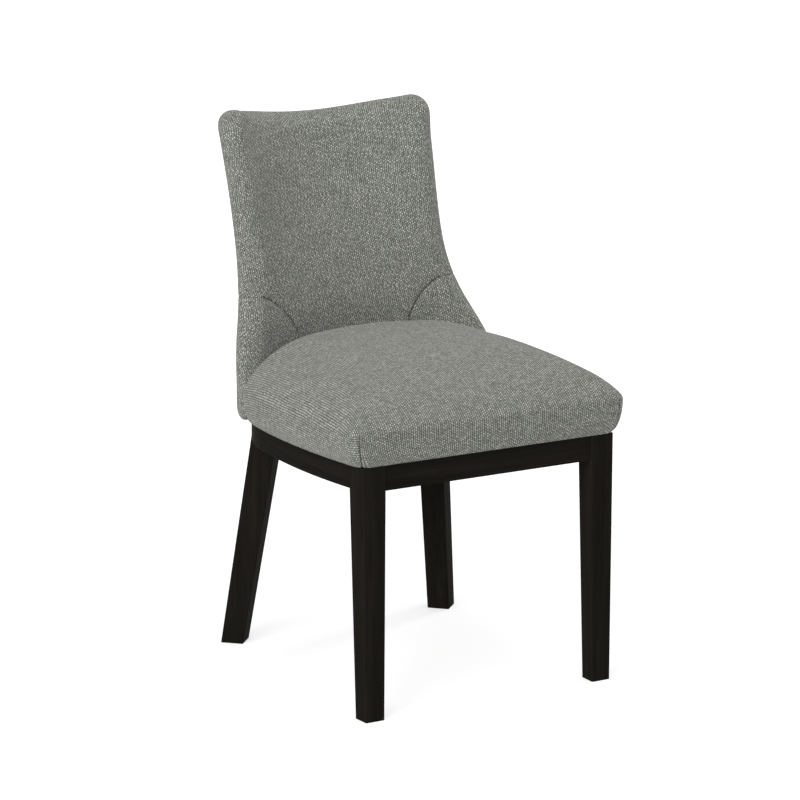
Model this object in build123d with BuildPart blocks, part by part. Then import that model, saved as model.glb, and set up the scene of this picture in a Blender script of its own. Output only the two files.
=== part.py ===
from build123d import *
import os
from math import cos, exp, pi, radians, sin, sqrt, tan

os.makedirs("parts", exist_ok=True)

# The chair stands on the floor at Z = 0 and faces -Y. Left is -X, as seen from the front.
# Sizes are in millimetres and angles in degrees. Angles in plan are measured from the rear, +Y.

# Axis of the seat frame's rounded rear and of the barrel back, a little ahead of the origin
axis_y = -6.0

# Seat frame
frame_height = 420.0
apron_height = 42.0
apron_thickness = 22.0
front_half_width = 232.0
side_half_width = 246.5
side_widest_y = -99.0
rear_radius = 242.4
rear_joint_angle = 81.3
leg_proud = 3.0

# Front legs
front_leg_face_y = -308.5
front_leg_width = 42.0
front_leg_depth = 40.0
front_foot_width = 34.0
front_foot_depth = 32.0
front_foot_outset = -3.0
front_foot_forward = 3.5
leg_side_flare = 4.0
leg_edge_radius = 2.0

# Rear legs, set on the diagonals of the rounded rear
rear_leg_angle = 46.0
rear_leg_width = 45.0
rear_foot_width = 39.0
rear_foot_radius = 286.0

# Cross rail, corner blocks and fasteners of the frame
cross_rail_front_y = 83.0
cross_rail_thickness = 22.0
corner_block_length = 62.0
corner_block_height = 34.0
dowel_diameter = 8.0
dowel_depth = 17.0
dowel_spacing = 20.0
hanger_bolt_diameter = 7.0
hanger_bolt_bite = 28.0
hanger_bolt_tail = 11.0
hanger_nut_across = 12.0
hanger_nut_height = 6.0
wood_screw_diameter = 4.0
wood_screw_head_diameter = 8.0
wood_screw_head_height = 2.4
block_screw_setback = 20.0
rail_screw_x = 96.0
leg_screw_bite = 14.0
leg_screw_spacing = 18.0
hole_clearance = 0.15

# Seat
seat_overhang = 8.0
seat_front_overhang = 3.5
seat_corner_radius = 28.0
seat_swell_corner_radius = 19.0
seat_tip_angle = 79.0
seat_rear_corner_x = 205.0
seat_rear_corner_y = 50.0
seat_rear_y = 133.0
seat_swell_height = 475.5
seat_shoulder_height = 18.0
seat_shoulder_squareness = 7.4
seat_crown_height = 58.5
seat_crown_squareness = 3.2
seat_crest_y = 100.0
seat_bulge = 18.7
seat_front_bulge = 5.9
seat_rear_slope = 2.1
seat_board_thickness = 12.0
cover_thickness = 2.0
hem_width = 40.0
dust_cover_thickness = 1.0
seat_screw_bite = 9.0
seat_screw_depth = 30.0
seat_skirt_sections = 5
seat_crown_sections = 13
seat_crown_spread = 2.2
seat_last_level = 0.97

# Barrel back
back_shell_thickness = 9.0
outside_pad_thickness = 12.6
back_top_radius = 331.0
back_top_height = 910.0
back_scoop = 19.0
back_corner_radius = 32.0
back_flare_height = 572.0
back_flare_power = 1.39
back_top_angle = 36.6
back_edge_lean = 0.027
wing_angle = 23.9
wing_height = 552.0
wing_softness = 34.5
back_edge_thickness = 44.0
back_edge_roundness = 0.42
back_top_thickness = 47.0
lumbar_depth = 77.0
shell_edge_margin = 17.0
shell_top_margin = 22.0
soft_clearance = 0.3
foam_clearance = 0.6
back_sections = 15
lower_rail_height = 42.0
lower_rail_angle = 66.0
outside_panel_margin = 24.0
outside_panel_top_margin = 30.0

# Seams of the wing panels, in the front view
wing_seam_height = 614.0
wing_seam_corner_x = 184.0
wing_seam_bend_x = 143.0
wing_seam_bend_height = 590.0
wing_seam_seat_x = 109.0
wing_seam_seat_height = 545.0
wing_seam_foot_x = 92.0

# Bolts between the back and the rear apron
back_bolt_diameter = 6.0
back_bolt_head_diameter = 10.0
back_bolt_head_height = 6.0
back_bolt_rise = 26.0
back_bolt_angles = (-57.0, -22.0, 22.0, 57.0)
back_washer_diameter = 16.0
back_washer_thickness = 1.5
insert_nut_diameter = 10.0
insert_nut_height = 14.0
shell_screw_angles = (-63.0, -40.0, -10.0, 10.0, 40.0, 63.0)
shell_screw_bite = 14.0

# Sizes that follow from those above
apron_bottom = frame_height - apron_height
apron_front_y = front_leg_face_y + leg_proud
leg_rear_y = front_leg_face_y + front_leg_depth
leg_inner_x = front_half_width + leg_proud - front_leg_width
rear_inner_radius = rear_radius - apron_thickness
shell_inner_radius = rear_radius + soft_clearance
shell_outer_radius = shell_inner_radius + back_shell_thickness
back_low_radius = shell_outer_radius + outside_pad_thickness + cover_thickness
seat_board_bottom = frame_height + cover_thickness
seat_board_top = seat_board_bottom + seat_board_thickness
rail_mid_radius = rear_radius - apron_thickness / 2
cross_rail_mid_y = cross_rail_front_y + cross_rail_thickness / 2
seat_crest_height = seat_swell_height + seat_shoulder_height + seat_crown_height
far = 2 * back_top_height


def polar(radius, angle):
    """A point in plan about the axis of the rounded rear, with the angle taken from the rear."""
    return (radius * sin(radians(angle)), axis_y + radius * cos(radians(angle)))


def save(piece, name):
    piece.part.label = name
    export_step(piece.part, f"parts/{name}.step")


def side_curve(side, grow):
    """The bowed outer edge of one side of the frame, from the front leg to the rear joint."""
    rear_x, rear_y = polar(rear_radius + grow, rear_joint_angle)
    ThreePointArc(
        (side * (front_half_width + grow), leg_rear_y),
        (side * (side_half_width + grow), side_widest_y),
        (side * rear_x, rear_y),
    )


def ring_sector(inner, outer, angle):
    """A closed band between two radii, over the same angle to both sides of the rear."""
    ThreePointArc(polar(outer, -angle), polar(outer, 0), polar(outer, angle))
    Line(polar(outer, angle), polar(inner, angle))
    ThreePointArc(polar(inner, angle), polar(inner, 0), polar(inner, -angle))
    Line(polar(inner, -angle), polar(outer, -angle))


def radial_plane(radius, angle, height):
    """A plane that faces outwards at a point about the axis."""
    x, y = polar(radius, angle)
    outwards = (sin(radians(angle)), cos(radians(angle)), 0)
    return Plane(origin=(x, y, height), x_dir=(0, 0, 1), z_dir=outwards)


# Joints of the aprons: each dowel has a middle point and a direction
dowel_heights = [frame_height - apron_height / 2 + step * dowel_spacing / 2 for step in (-1, 1)]
dowel_places = []
for side in (-1, 1):
    joint_x, joint_y = polar(rail_mid_radius, rear_joint_angle)
    rail_angle = 90 - rear_joint_angle
    cross_x = sqrt(rear_inner_radius**2 - (cross_rail_mid_y - axis_y) ** 2)
    dowel_places.append(((side * leg_inner_x, apron_front_y + apron_thickness / 2), (1, 0)))
    dowel_places.append(((side * (front_half_width - apron_thickness / 2), leg_rear_y), (0, 1)))
    dowel_places.append(
        ((side * joint_x, joint_y), (-side * sin(radians(rail_angle)), cos(radians(rail_angle))))
    )
    dowel_places.append(((side * cross_x, cross_rail_mid_y), (1, 0)))


def dowels(radius, depth):
    """All dowels, or the holes for them, as separate cylinders."""
    with BuildPart() as pins:
        for (x, y), (dx, dy) in dowel_places:
            for height in dowel_heights:
                with BuildSketch(Plane(origin=(x, y, height), z_dir=(dx, dy, 0))):
                    Circle(radius)
                extrude(amount=depth, both=True)
    return pins.part


dowel_holes = dowels(dowel_diameter / 2 + hole_clearance, dowel_depth + hole_clearance)
with BuildPart() as apron_dowels:
    add(dowels(dowel_diameter / 2, dowel_depth))
save(apron_dowels, "apron_dowels")

# Hanger bolts run along the diagonal of each front corner, through the leg's inner corner
bolt_height = frame_height - apron_height / 2
inner_corner_x = front_half_width - apron_thickness
inner_corner_y = apron_front_y + apron_thickness
block_depth = (
    corner_block_length - (inner_corner_x - leg_inner_x) - (leg_rear_y - inner_corner_y)
) / sqrt(2)


def corner_plane(side, outwards):
    """A plane across the corner's diagonal, at a distance from the leg's inner corner."""
    x = side * (leg_inner_x - outwards / sqrt(2))
    y = leg_rear_y + outwards / sqrt(2)
    return Plane(origin=(x, y, bolt_height), x_dir=(0, 0, 1), z_dir=(-side, 1, 0))


def hanger_bolts(radius):
    with BuildPart() as bolts:
        for side in (-1, 1):
            with BuildSketch(corner_plane(side, -hanger_bolt_bite)):
                Circle(radius)
            extrude(amount=hanger_bolt_bite + block_depth + hanger_bolt_tail)
    return bolts.part


hanger_bolt_holes = hanger_bolts(hanger_bolt_diameter / 2 + hole_clearance)
with BuildPart() as corner_hanger_bolts:
    add(hanger_bolts(hanger_bolt_diameter / 2))
save(corner_hanger_bolts, "corner_hanger_bolts")

with BuildPart() as corner_hanger_nuts:
    for side in (-1, 1):
        with BuildSketch(corner_plane(side, block_depth)):
            RegularPolygon(hanger_nut_across / 2, 6, major_radius=False)
            Circle(hanger_bolt_diameter / 2 + hole_clearance, mode=Mode.SUBTRACT)
        extrude(amount=hanger_nut_height)
save(corner_hanger_nuts, "corner_hanger_nuts")


# Front legs: a straight block beside the aprons and a tapered shank below
def leg_outline(side, outer, front, width, depth):
    """The leg's section: its outer face opens slightly towards the rear."""
    flare = depth * tan(radians(leg_side_flare))
    Polyline(
        (side * (outer - width), front),
        (side * outer, front),
        (side * (outer + flare), front + depth),
        (side * (outer - width), front + depth),
        close=True,
    )


for side, side_name in ((-1, "left"), (1, "right")):
    with BuildPart() as front_leg:
        with BuildSketch() as foot:
            with BuildLine():
                leg_outline(
                    side,
                    front_half_width + leg_proud + front_foot_outset,
                    front_leg_face_y - front_foot_forward,
                    front_foot_width,
                    front_foot_depth,
                )
            make_face()
            fillet(foot.vertices(), leg_edge_radius)
        with BuildSketch(Plane.XY.offset(apron_bottom)) as knee:
            with BuildLine():
                leg_outline(
                    side,
                    front_half_width + leg_proud,
                    front_leg_face_y,
                    front_leg_width,
                    front_leg_depth,
                )
            make_face()
            fillet(knee.vertices(), leg_edge_radius)
        loft()
        add(knee.sketch)
        extrude(amount=apron_height)
        add(dowel_holes, mode=Mode.SUBTRACT)
        add(hanger_bolt_holes, mode=Mode.SUBTRACT)
    save(front_leg, f"front_{side_name}_leg")

# Rear legs: the shank stops under the rear apron, and a tongue runs up behind it
knee_radius = rear_radius + leg_proud - rear_leg_width / 2
tongue_inner = rear_radius + leg_proud - rear_leg_width
leg_screw_heights = [frame_height - apron_height / 2 + step * leg_screw_spacing / 2 for step in (-1, 1)]


def rear_leg_screw_set(shank, head):
    """The screws from the tongues into the rear apron, as solids of the given radii."""
    with BuildPart() as screws:
        for side in (-1, 1):
            for height in leg_screw_heights:
                with BuildSketch(radial_plane(tongue_inner, side * rear_leg_angle, height)):
                    Circle(shank)
                extrude(amount=apron_thickness + leg_screw_bite)
                with BuildSketch(radial_plane(tongue_inner, side * rear_leg_angle, height)):
                    Circle(head)
                extrude(amount=wood_screw_head_height)
    return screws.part


leg_screw_holes = rear_leg_screw_set(
    wood_screw_diameter / 2 + hole_clearance, wood_screw_head_diameter / 2 + hole_clearance
)
with BuildPart() as rear_leg_screws:
    add(rear_leg_screw_set(wood_screw_diameter / 2, wood_screw_head_diameter / 2))
save(rear_leg_screws, "rear_leg_screws")

for side, side_name in ((-1, "left"), (1, "right")):
    angle = side * rear_leg_angle
    with BuildPart() as rear_leg:
        foot_x, foot_y = polar(rear_foot_radius, angle)
        knee_x, knee_y = polar(knee_radius, angle)
        across = (cos(radians(angle)), -sin(radians(angle)), 0)
        with BuildSketch(Plane((foot_x, foot_y, 0), x_dir=across)):
            RectangleRounded(rear_foot_width, rear_foot_width, leg_edge_radius)
        with BuildSketch(Plane((knee_x, knee_y, apron_bottom), x_dir=across)):
            RectangleRounded(rear_leg_width, rear_leg_width, leg_edge_radius)
        loft()
        with BuildSketch(Plane((knee_x, knee_y, apron_bottom), x_dir=across)):
            RectangleRounded(rear_leg_width, rear_leg_width, leg_edge_radius)
        extrude(amount=apron_height)
        with BuildSketch(Plane.XY.offset(apron_bottom)):
            with BuildLine():
                ring_sector(rear_inner_radius, rear_radius + rear_leg_width, rear_joint_angle)
            make_face()
        extrude(amount=apron_height, mode=Mode.SUBTRACT)
        add(leg_screw_holes, mode=Mode.SUBTRACT)
    save(rear_leg, f"rear_{side_name}_leg")

# Aprons
with BuildPart() as front_apron:
    with BuildSketch(Plane.XY.offset(apron_bottom)):
        with Locations((0, apron_front_y)):
            Rectangle(2 * leg_inner_x, apron_thickness, align=(Align.CENTER, Align.MIN))
    extrude(amount=apron_height)
    add(dowel_holes, mode=Mode.SUBTRACT)
save(front_apron, "front_apron")

for side, side_name in ((-1, "left"), (1, "right")):
    with BuildPart() as side_apron:
        with BuildSketch(Plane.XY.offset(apron_bottom)):
            with BuildLine():
                side_curve(side, 0)
                side_curve(side, -apron_thickness)
                Line(
                    (side * front_half_width, leg_rear_y),
                    (side * (front_half_width - apron_thickness), leg_rear_y),
                )
                Line(
                    polar(rear_radius, side * rear_joint_angle),
                    polar(rear_inner_radius, side * rear_joint_angle),
                )
            make_face()
        extrude(amount=apron_height)
        add(dowel_holes, mode=Mode.SUBTRACT)
    save(side_apron, f"{side_name}_apron")

# Bolts of the back: the heads sit in counterbores under the rear apron
bolt_seat = apron_bottom + back_bolt_head_height + back_washer_thickness
bolt_tip = frame_height + back_bolt_rise
bolt_points = [polar(rail_mid_radius, angle) for angle in back_bolt_angles]

with BuildPart() as rear_apron:
    with BuildSketch(Plane.XY.offset(apron_bottom)):
        with BuildLine():
            ring_sector(rear_inner_radius, rear_radius, rear_joint_angle)
        make_face()
    extrude(amount=apron_height)
    with BuildSketch(Plane.XY.offset(apron_bottom)):
        with Locations(*bolt_points):
            Circle(back_washer_diameter / 2 + hole_clearance)
    extrude(amount=bolt_seat - apron_bottom, mode=Mode.SUBTRACT)
    with BuildSketch(Plane.XY.offset(apron_bottom)):
        with Locations(*bolt_points):
            Circle(back_bolt_diameter / 2 + hole_clearance)
    extrude(amount=apron_height, mode=Mode.SUBTRACT)
    add(dowel_holes, mode=Mode.SUBTRACT)
    add(leg_screw_holes, mode=Mode.SUBTRACT)
save(rear_apron, "rear_apron")

with BuildPart() as back_bolts:
    with BuildSketch(Plane.XY.offset(apron_bottom)):
        with Locations(*bolt_points):
            Circle(back_bolt_head_diameter / 2)
    extrude(amount=back_bolt_head_height)
    with BuildSketch(Plane.XY.offset(apron_bottom)):
        with Locations(*bolt_points):
            Circle(back_bolt_diameter / 2)
    extrude(amount=bolt_tip - apron_bottom)
save(back_bolts, "back_bolts")

with BuildPart() as back_bolt_washers:
    with BuildSketch(Plane.XY.offset(bolt_seat - back_washer_thickness)):
        with Locations(*bolt_points):
            Circle(back_washer_diameter / 2)
            Circle(back_bolt_diameter / 2 + hole_clearance, mode=Mode.SUBTRACT)
    extrude(amount=back_washer_thickness)
save(back_bolt_washers, "back_bolt_washers")

insert_nut_bottom = bolt_tip - insert_nut_height
with BuildPart() as back_insert_nuts:
    with BuildSketch(Plane.XY.offset(insert_nut_bottom)):
        with Locations(*bolt_points):
            Circle(insert_nut_diameter / 2)
            Circle(back_bolt_diameter / 2 + hole_clearance, mode=Mode.SUBTRACT)
    extrude(amount=insert_nut_height)
save(back_insert_nuts, "back_insert_nuts")

# Cross rail and corner blocks, with the screws that hold the seat down
seat_screw_points = [
    (side * x, y)
    for side in (-1, 1)
    for x, y in (
        (leg_inner_x - block_screw_setback, inner_corner_y + block_screw_setback / 2),
        (rail_screw_x, cross_rail_mid_y),
    )
]
seat_screw_seat = frame_height - seat_screw_depth


def seat_screw_set(shank, head, head_bottom):
    with BuildPart() as screws:
        with BuildSketch(Plane.XY.offset(seat_screw_seat)):
            with Locations(*seat_screw_points):
                Circle(shank)
        extrude(amount=seat_screw_depth + cover_thickness + seat_screw_bite)
        with BuildSketch(Plane.XY.offset(head_bottom)):
            with Locations(*seat_screw_points):
                Circle(head)
        extrude(amount=seat_screw_seat - head_bottom)
    return screws.part


seat_screw_holes = seat_screw_set(
    wood_screw_diameter / 2 + hole_clearance,
    wood_screw_head_diameter / 2 + hole_clearance,
    apron_bottom,
)
with BuildPart() as seat_screws:
    add(
        seat_screw_set(
            wood_screw_diameter / 2,
            wood_screw_head_diameter / 2,
            seat_screw_seat - wood_screw_head_height,
        )
    )
save(seat_screws, "seat_screws")

with BuildPart() as seat_cross_rail:
    with BuildSketch(Plane.XY.offset(apron_bottom)):
        with Locations((0, cross_rail_front_y)):
            Rectangle(2 * rear_radius, cross_rail_thickness, align=(Align.CENTER, Align.MIN))
        with Locations((0, axis_y)):
            Circle(rear_inner_radius, mode=Mode.INTERSECT)
    extrude(amount=apron_height)
    add(dowel_holes, mode=Mode.SUBTRACT)
    add(seat_screw_holes, mode=Mode.SUBTRACT)
save(seat_cross_rail, "seat_cross_rail")

with BuildPart() as front_corner_blocks:
    with BuildSketch(Plane.XY.offset(frame_height - corner_block_height)):
        for side in (-1, 1):
            with BuildLine():
                Polyline(
                    (side * (inner_corner_x - corner_block_length), inner_corner_y),
                    (side * leg_inner_x, inner_corner_y),
                    (side * leg_inner_x, leg_rear_y),
                    (side * inner_corner_x, leg_rear_y),
                    (side * inner_corner_x, inner_corner_y + corner_block_length),
                    close=True,
                )
            make_face()
    extrude(amount=corner_block_height)
    add(hanger_bolt_holes, mode=Mode.SUBTRACT)
    add(seat_screw_holes, mode=Mode.SUBTRACT)
save(front_corner_blocks, "front_corner_blocks")


# Seat: a crowned cushion whose sides swell out and draw in at the frame
def seat_outline(swell, narrow, rear_narrow, inset):
    """One level of the cushion: how far it swells, and how far the crown has closed in."""
    front = apron_front_y - seat_front_overhang - swell * seat_front_bulge + inset
    front = seat_crest_y - (seat_crest_y - front) * narrow
    corner = seat_corner_radius + (seat_swell_corner_radius - seat_corner_radius) * swell
    corner = corner * narrow
    grow = seat_overhang + swell * seat_bulge - inset
    front_x = (front_half_width + grow) * narrow
    widest_x = (side_half_width + grow) * narrow
    widest_y = seat_crest_y - (seat_crest_y - side_widest_y) * narrow
    tip_x, tip_y = polar(rear_radius + grow, seat_tip_angle)
    tip_x = tip_x * narrow
    tip_y = seat_crest_y + (tip_y - inset - seat_crest_y) * rear_narrow
    rear_x = (seat_rear_corner_x - inset) * narrow
    rear_y = seat_crest_y + (seat_rear_corner_y - inset - seat_crest_y) * rear_narrow
    middle_y = seat_crest_y + (seat_rear_y - inset - seat_crest_y) * rear_narrow
    bend = corner * (1 - sqrt(0.5))
    Line((front_x - corner, front), (corner - front_x, front))
    ThreePointArc((corner - front_x, front), (bend - front_x, front + bend), (-front_x, front + corner))
    ThreePointArc((-front_x, front + corner), (-widest_x, widest_y), (-tip_x, tip_y))
    Line((-tip_x, tip_y), (-rear_x, rear_y))
    ThreePointArc((-rear_x, rear_y), (0, middle_y), (rear_x, rear_y))
    Line((rear_x, rear_y), (tip_x, tip_y))
    ThreePointArc((tip_x, tip_y), (widest_x, widest_y), (front_x, front + corner))
    ThreePointArc((front_x, front + corner), (front_x - bend, front + bend), (front_x - corner, front))


def seat_levels(inset):
    """The cushion's levels from its tucked-in bottom to its crest: height, swell and narrowing."""
    levels = []
    for step in range(seat_skirt_sections):
        turn = pi / 2 * step / seat_skirt_sections
        drop = (seat_swell_height - frame_height - inset) * cos(turn)
        levels.append((seat_swell_height - drop, sin(turn), 1.0))
    full_rise = seat_crest_height - seat_swell_height
    for step in range(seat_crown_sections + 1):
        narrow = 1 - (seat_last_level * step / seat_crown_sections) ** seat_crown_spread
        shoulder = seat_shoulder_height * sqrt(1 - narrow**seat_shoulder_squareness)
        crown = seat_crown_height * (1 - narrow**seat_crown_squareness)
        rise = (shoulder + crown) * (full_rise - inset) / full_rise
        levels.append((seat_swell_height + rise, 1.0, narrow))
    return levels


def seat_form(inset):
    """The cushion as a stack of outlines over a tight shoulder and a crowned top."""
    with BuildPart() as form:
        for height, swell, narrow in seat_levels(inset):
            with BuildSketch(Plane.XY.offset(height)):
                with BuildLine():
                    seat_outline(swell, narrow, narrow**seat_rear_slope, inset)
                make_face()
        loft()
    return form.part


with BuildPart() as seat_board:
    with BuildSketch(Plane.XY.offset(seat_board_bottom)):
        with BuildLine():
            seat_outline(0, 1, 1, cover_thickness + soft_clearance)
        make_face()
    extrude(amount=seat_board_thickness)
    add(seat_screw_holes, mode=Mode.SUBTRACT)
save(seat_board, "seat_board")

with BuildPart() as seat_foam:
    add(seat_form(cover_thickness + foam_clearance))
    split(bisect_by=Plane.XY.offset(seat_board_top), keep=Keep.TOP)
save(seat_foam, "seat_foam")

with BuildPart() as seat_cover:
    add(seat_form(0))
    add(seat_form(cover_thickness), mode=Mode.SUBTRACT)
    with BuildSketch(Plane.XY.offset(frame_height)):
        with BuildLine():
            seat_outline(0, 1, 1, hem_width)
        make_face()
    extrude(amount=2 * cover_thickness, mode=Mode.SUBTRACT)
    add(seat_screw_holes, mode=Mode.SUBTRACT)
save(seat_cover, "seat_cover")

with BuildPart() as seat_dust_cover:
    with BuildSketch(Plane.XY.offset(seat_board_bottom - dust_cover_thickness)):
        with BuildLine():
            seat_outline(0, 1, 1, hem_width + soft_clearance)
        make_face()
    extrude(amount=dust_cover_thickness)
    add(seat_screw_holes, mode=Mode.SUBTRACT)
save(seat_dust_cover, "seat_dust_cover")


# Barrel back: its radius flares towards the top, and its edges sweep forward into the wings
def back_radius(height):
    rise = max(0.0, (height - back_flare_height) / (back_top_height - back_flare_height))
    return back_low_radius + (back_top_radius - back_low_radius) * rise**back_flare_power


def back_angle(height):
    wing = wing_angle / (1 + exp((height - wing_height) / wing_softness))
    return back_top_angle + back_edge_lean * (back_top_height - height) + wing


def back_depth(height):
    """Thickness of the padded back on its middle line."""
    rise = (height - frame_height) / (back_top_height - frame_height)
    return back_top_thickness + lumbar_depth * (1 + cos(pi * rise)) / 2


def edge_points(height, inset):
    """The outer end, the rounded middle and the inner end of the back's edge at one height."""
    outer_radius = back_radius(height) - inset
    inner_radius = back_radius(height) - back_edge_thickness + inset
    middle_radius = (outer_radius + inner_radius) / 2
    forward = back_edge_roundness * back_edge_thickness - inset
    angle = back_angle(height)
    middle_x, middle_y = polar(middle_radius, angle)
    middle = (middle_x + forward * cos(radians(angle)), middle_y - forward * sin(radians(angle)))
    return polar(outer_radius, angle), middle, polar(inner_radius, angle)


def mirrored(point):
    return (-point[0], point[1])


def back_outline(height, inset):
    outer, middle, inner = edge_points(height, inset)
    rear = polar(back_radius(height) - inset, 0)
    front = polar(back_radius(height) - back_depth(height) + inset, 0)
    ThreePointArc(mirrored(outer), rear, outer)
    ThreePointArc(outer, middle, inner)
    ThreePointArc(inner, front, mirrored(inner))
    ThreePointArc(mirrored(inner), mirrored(middle), mirrored(outer))


back_heights = [
    frame_height + step * (back_top_height + back_scoop - frame_height) / (back_sections - 1)
    for step in range(back_sections)
]


def top_outline(drop):
    """The back in the front view, under its scooped top edge and round top corners."""
    side_x = edge_points(back_top_height, 0)[1][0] - drop
    corner = back_corner_radius
    top = back_top_height - drop
    bend = corner * (1 - sqrt(0.5))
    ThreePointArc((corner - side_x, top), (0, top - back_scoop), (side_x - corner, top))
    ThreePointArc((side_x - corner, top), (side_x - bend, top - bend), (side_x, top - corner))
    Polyline(
        (side_x, top - corner),
        (far, top - corner),
        (far, 0),
        (-far, 0),
        (-far, top - corner),
        (-side_x, top - corner),
    )
    ThreePointArc((-side_x, top - corner), (bend - side_x, top - bend), (corner - side_x, top))


def back_form(inset):
    """The padded back, drawn in by the inset on all its faces."""
    with BuildPart() as form:
        for height in back_heights:
            level = max(height, frame_height + inset)
            with BuildSketch(Plane.XY.offset(level)):
                with BuildLine():
                    back_outline(level, inset)
                make_face()
        loft()
        with BuildSketch(Plane.XZ):
            with BuildLine():
                top_outline(inset)
            make_face()
        extrude(amount=far, both=True, mode=Mode.INTERSECT)
    return form.part


def back_band(inner_depth, outer_depth, edge_margin, top_drop):
    """A curved band of the barrel between two depths behind its outer face."""
    with BuildPart() as band:
        for height in back_heights:
            radius = back_radius(height)
            margin = edge_margin / radius * 180 / pi
            with BuildSketch(Plane.XY.offset(height)):
                with BuildLine():
                    ring_sector(radius - inner_depth, radius - outer_depth, back_angle(height) - margin)
                make_face()
        loft()
        with BuildSketch(Plane.XZ):
            with BuildLine():
                top_outline(top_drop)
            make_face()
        extrude(amount=far, both=True, mode=Mode.INTERSECT)
    return band.part


shell_front_depth = back_low_radius - shell_inner_radius
shell_rear_depth = back_low_radius - shell_outer_radius
shell_screw_height = frame_height + lower_rail_height / 2


def shell_screw_set(shank, head):
    """The screws through the shell into the lower rail, with their heads flush with the shell."""
    with BuildPart() as screws:
        for angle in shell_screw_angles:
            tip = radial_plane(rear_radius - shell_screw_bite, angle, shell_screw_height)
            seat = radial_plane(
                shell_outer_radius - wood_screw_head_height, angle, shell_screw_height
            )
            with BuildSketch(tip):
                Circle(shank)
            extrude(amount=shell_outer_radius - rear_radius + shell_screw_bite - wood_screw_head_height)
            with BuildSketch(seat):
                Circle(head)
            extrude(amount=wood_screw_head_height)
    return screws.part


shell_screw_holes = shell_screw_set(
    wood_screw_diameter / 2 + hole_clearance, wood_screw_head_diameter / 2 + hole_clearance
)
with BuildPart() as shell_screws:
    add(shell_screw_set(wood_screw_diameter / 2, wood_screw_head_diameter / 2))
save(shell_screws, "shell_screws")

with BuildPart() as back_shell:
    add(back_band(shell_front_depth, shell_rear_depth, shell_edge_margin, shell_top_margin))
    split(bisect_by=Plane.XY.offset(seat_board_bottom), keep=Keep.TOP)
    add(shell_screw_holes, mode=Mode.SUBTRACT)
save(back_shell, "back_shell")


def rail_block(clearance):
    with BuildPart() as rail:
        with BuildSketch(Plane.XY.offset(frame_height)):
            with BuildLine():
                ring_sector(
                    rear_inner_radius - clearance, rear_radius + clearance, lower_rail_angle
                )
            make_face()
        extrude(amount=lower_rail_height + clearance)
    return rail.part


with BuildPart() as back_lower_rail:
    add(rail_block(0))
    with BuildSketch(Plane.XY.offset(frame_height)):
        with Locations(*bolt_points):
            Circle(back_bolt_diameter / 2 + hole_clearance)
    extrude(amount=insert_nut_bottom - frame_height, mode=Mode.SUBTRACT)
    with BuildSketch(Plane.XY.offset(insert_nut_bottom)):
        with Locations(*bolt_points):
            Circle(insert_nut_diameter / 2 + hole_clearance)
    extrude(amount=insert_nut_height, mode=Mode.SUBTRACT)
    add(shell_screw_holes, mode=Mode.SUBTRACT)
save(back_lower_rail, "back_lower_rail")

padding = back_form(cover_thickness + foam_clearance)
shell_space = back_band(
    shell_front_depth + soft_clearance,
    -back_edge_thickness,
    shell_edge_margin - soft_clearance,
    shell_top_margin - soft_clearance,
)
rear_space = back_band(
    shell_rear_depth - soft_clearance, -back_edge_thickness, shell_edge_margin, shell_top_margin
)

with BuildPart() as inside_back_foam:
    add(padding)
    add(shell_space, mode=Mode.SUBTRACT)
    add(rail_block(soft_clearance), mode=Mode.SUBTRACT)
save(inside_back_foam, "inside_back_foam")

with BuildPart() as outside_back_foam:
    add(padding)
    add(rear_space, mode=Mode.INTERSECT)
save(outside_back_foam, "outside_back_foam")

with BuildPart() as whole_cover:
    add(back_form(0))
    add(back_form(cover_thickness), mode=Mode.SUBTRACT)
    add(rail_block(soft_clearance), mode=Mode.SUBTRACT)

# The outside panel turns in under the back, as far as the lower rail
with BuildPart() as panel_space:
    add(
        back_band(
            2 * cover_thickness, -back_edge_thickness, outside_panel_margin, outside_panel_top_margin
        )
    )
    with BuildSketch(Plane.XY.offset(frame_height)):
        with BuildLine():
            ring_sector(rear_radius, back_low_radius + back_edge_thickness, lower_rail_angle)
        make_face()
    extrude(amount=cover_thickness)

with BuildPart() as outside_back_cover:
    add(whole_cover.part)
    add(panel_space.part, mode=Mode.INTERSECT)
save(outside_back_cover, "outside_back_cover")


def wing_space(side):
    """All that lies beyond one wing's seam, seen from the front."""
    with BuildPart() as space:
        with BuildSketch(Plane.XZ):
            with BuildLine():
                ThreePointArc(
                    (side * wing_seam_corner_x, wing_seam_height),
                    (side * wing_seam_bend_x, wing_seam_bend_height),
                    (side * wing_seam_seat_x, wing_seam_seat_height),
                )
                Polyline(
                    (side * wing_seam_seat_x, wing_seam_seat_height),
                    (side * wing_seam_foot_x, frame_height),
                    (side * wing_seam_foot_x, 0),
                    (side * far, 0),
                    (side * far, wing_seam_height),
                    (side * wing_seam_corner_x, wing_seam_height),
                )
            make_face()
        extrude(amount=far, both=True)
    return space.part


wing_spaces = {"left": wing_space(-1), "right": wing_space(1)}
for side_name, space in wing_spaces.items():
    with BuildPart() as wing_cover:
        add(whole_cover.part)
        add(panel_space.part, mode=Mode.SUBTRACT)
        add(space, mode=Mode.INTERSECT)
    save(wing_cover, f"{side_name}_wing_cover")

with BuildPart() as inside_back_cover:
    add(whole_cover.part)
    add(panel_space.part, mode=Mode.SUBTRACT)
    for space in wing_spaces.values():
        add(space, mode=Mode.SUBTRACT)
save(inside_back_cover, "inside_back_cover")
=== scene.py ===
# %% [markdown]
# # An upholstered dining chair
# The chair stands on four dark tapered legs. A crowned seat and a barrel back, both padded and covered
# in a heathered weave, sit on a wooden frame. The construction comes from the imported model, which stays
# where it is. This lesson dresses it: the wood and the hidden hardware get finishes, and the soft pieces
# are made anew. All lengths are in metres, and only the camera's lens and sensor in millimetres.

# %% Load the frame
import math

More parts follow.
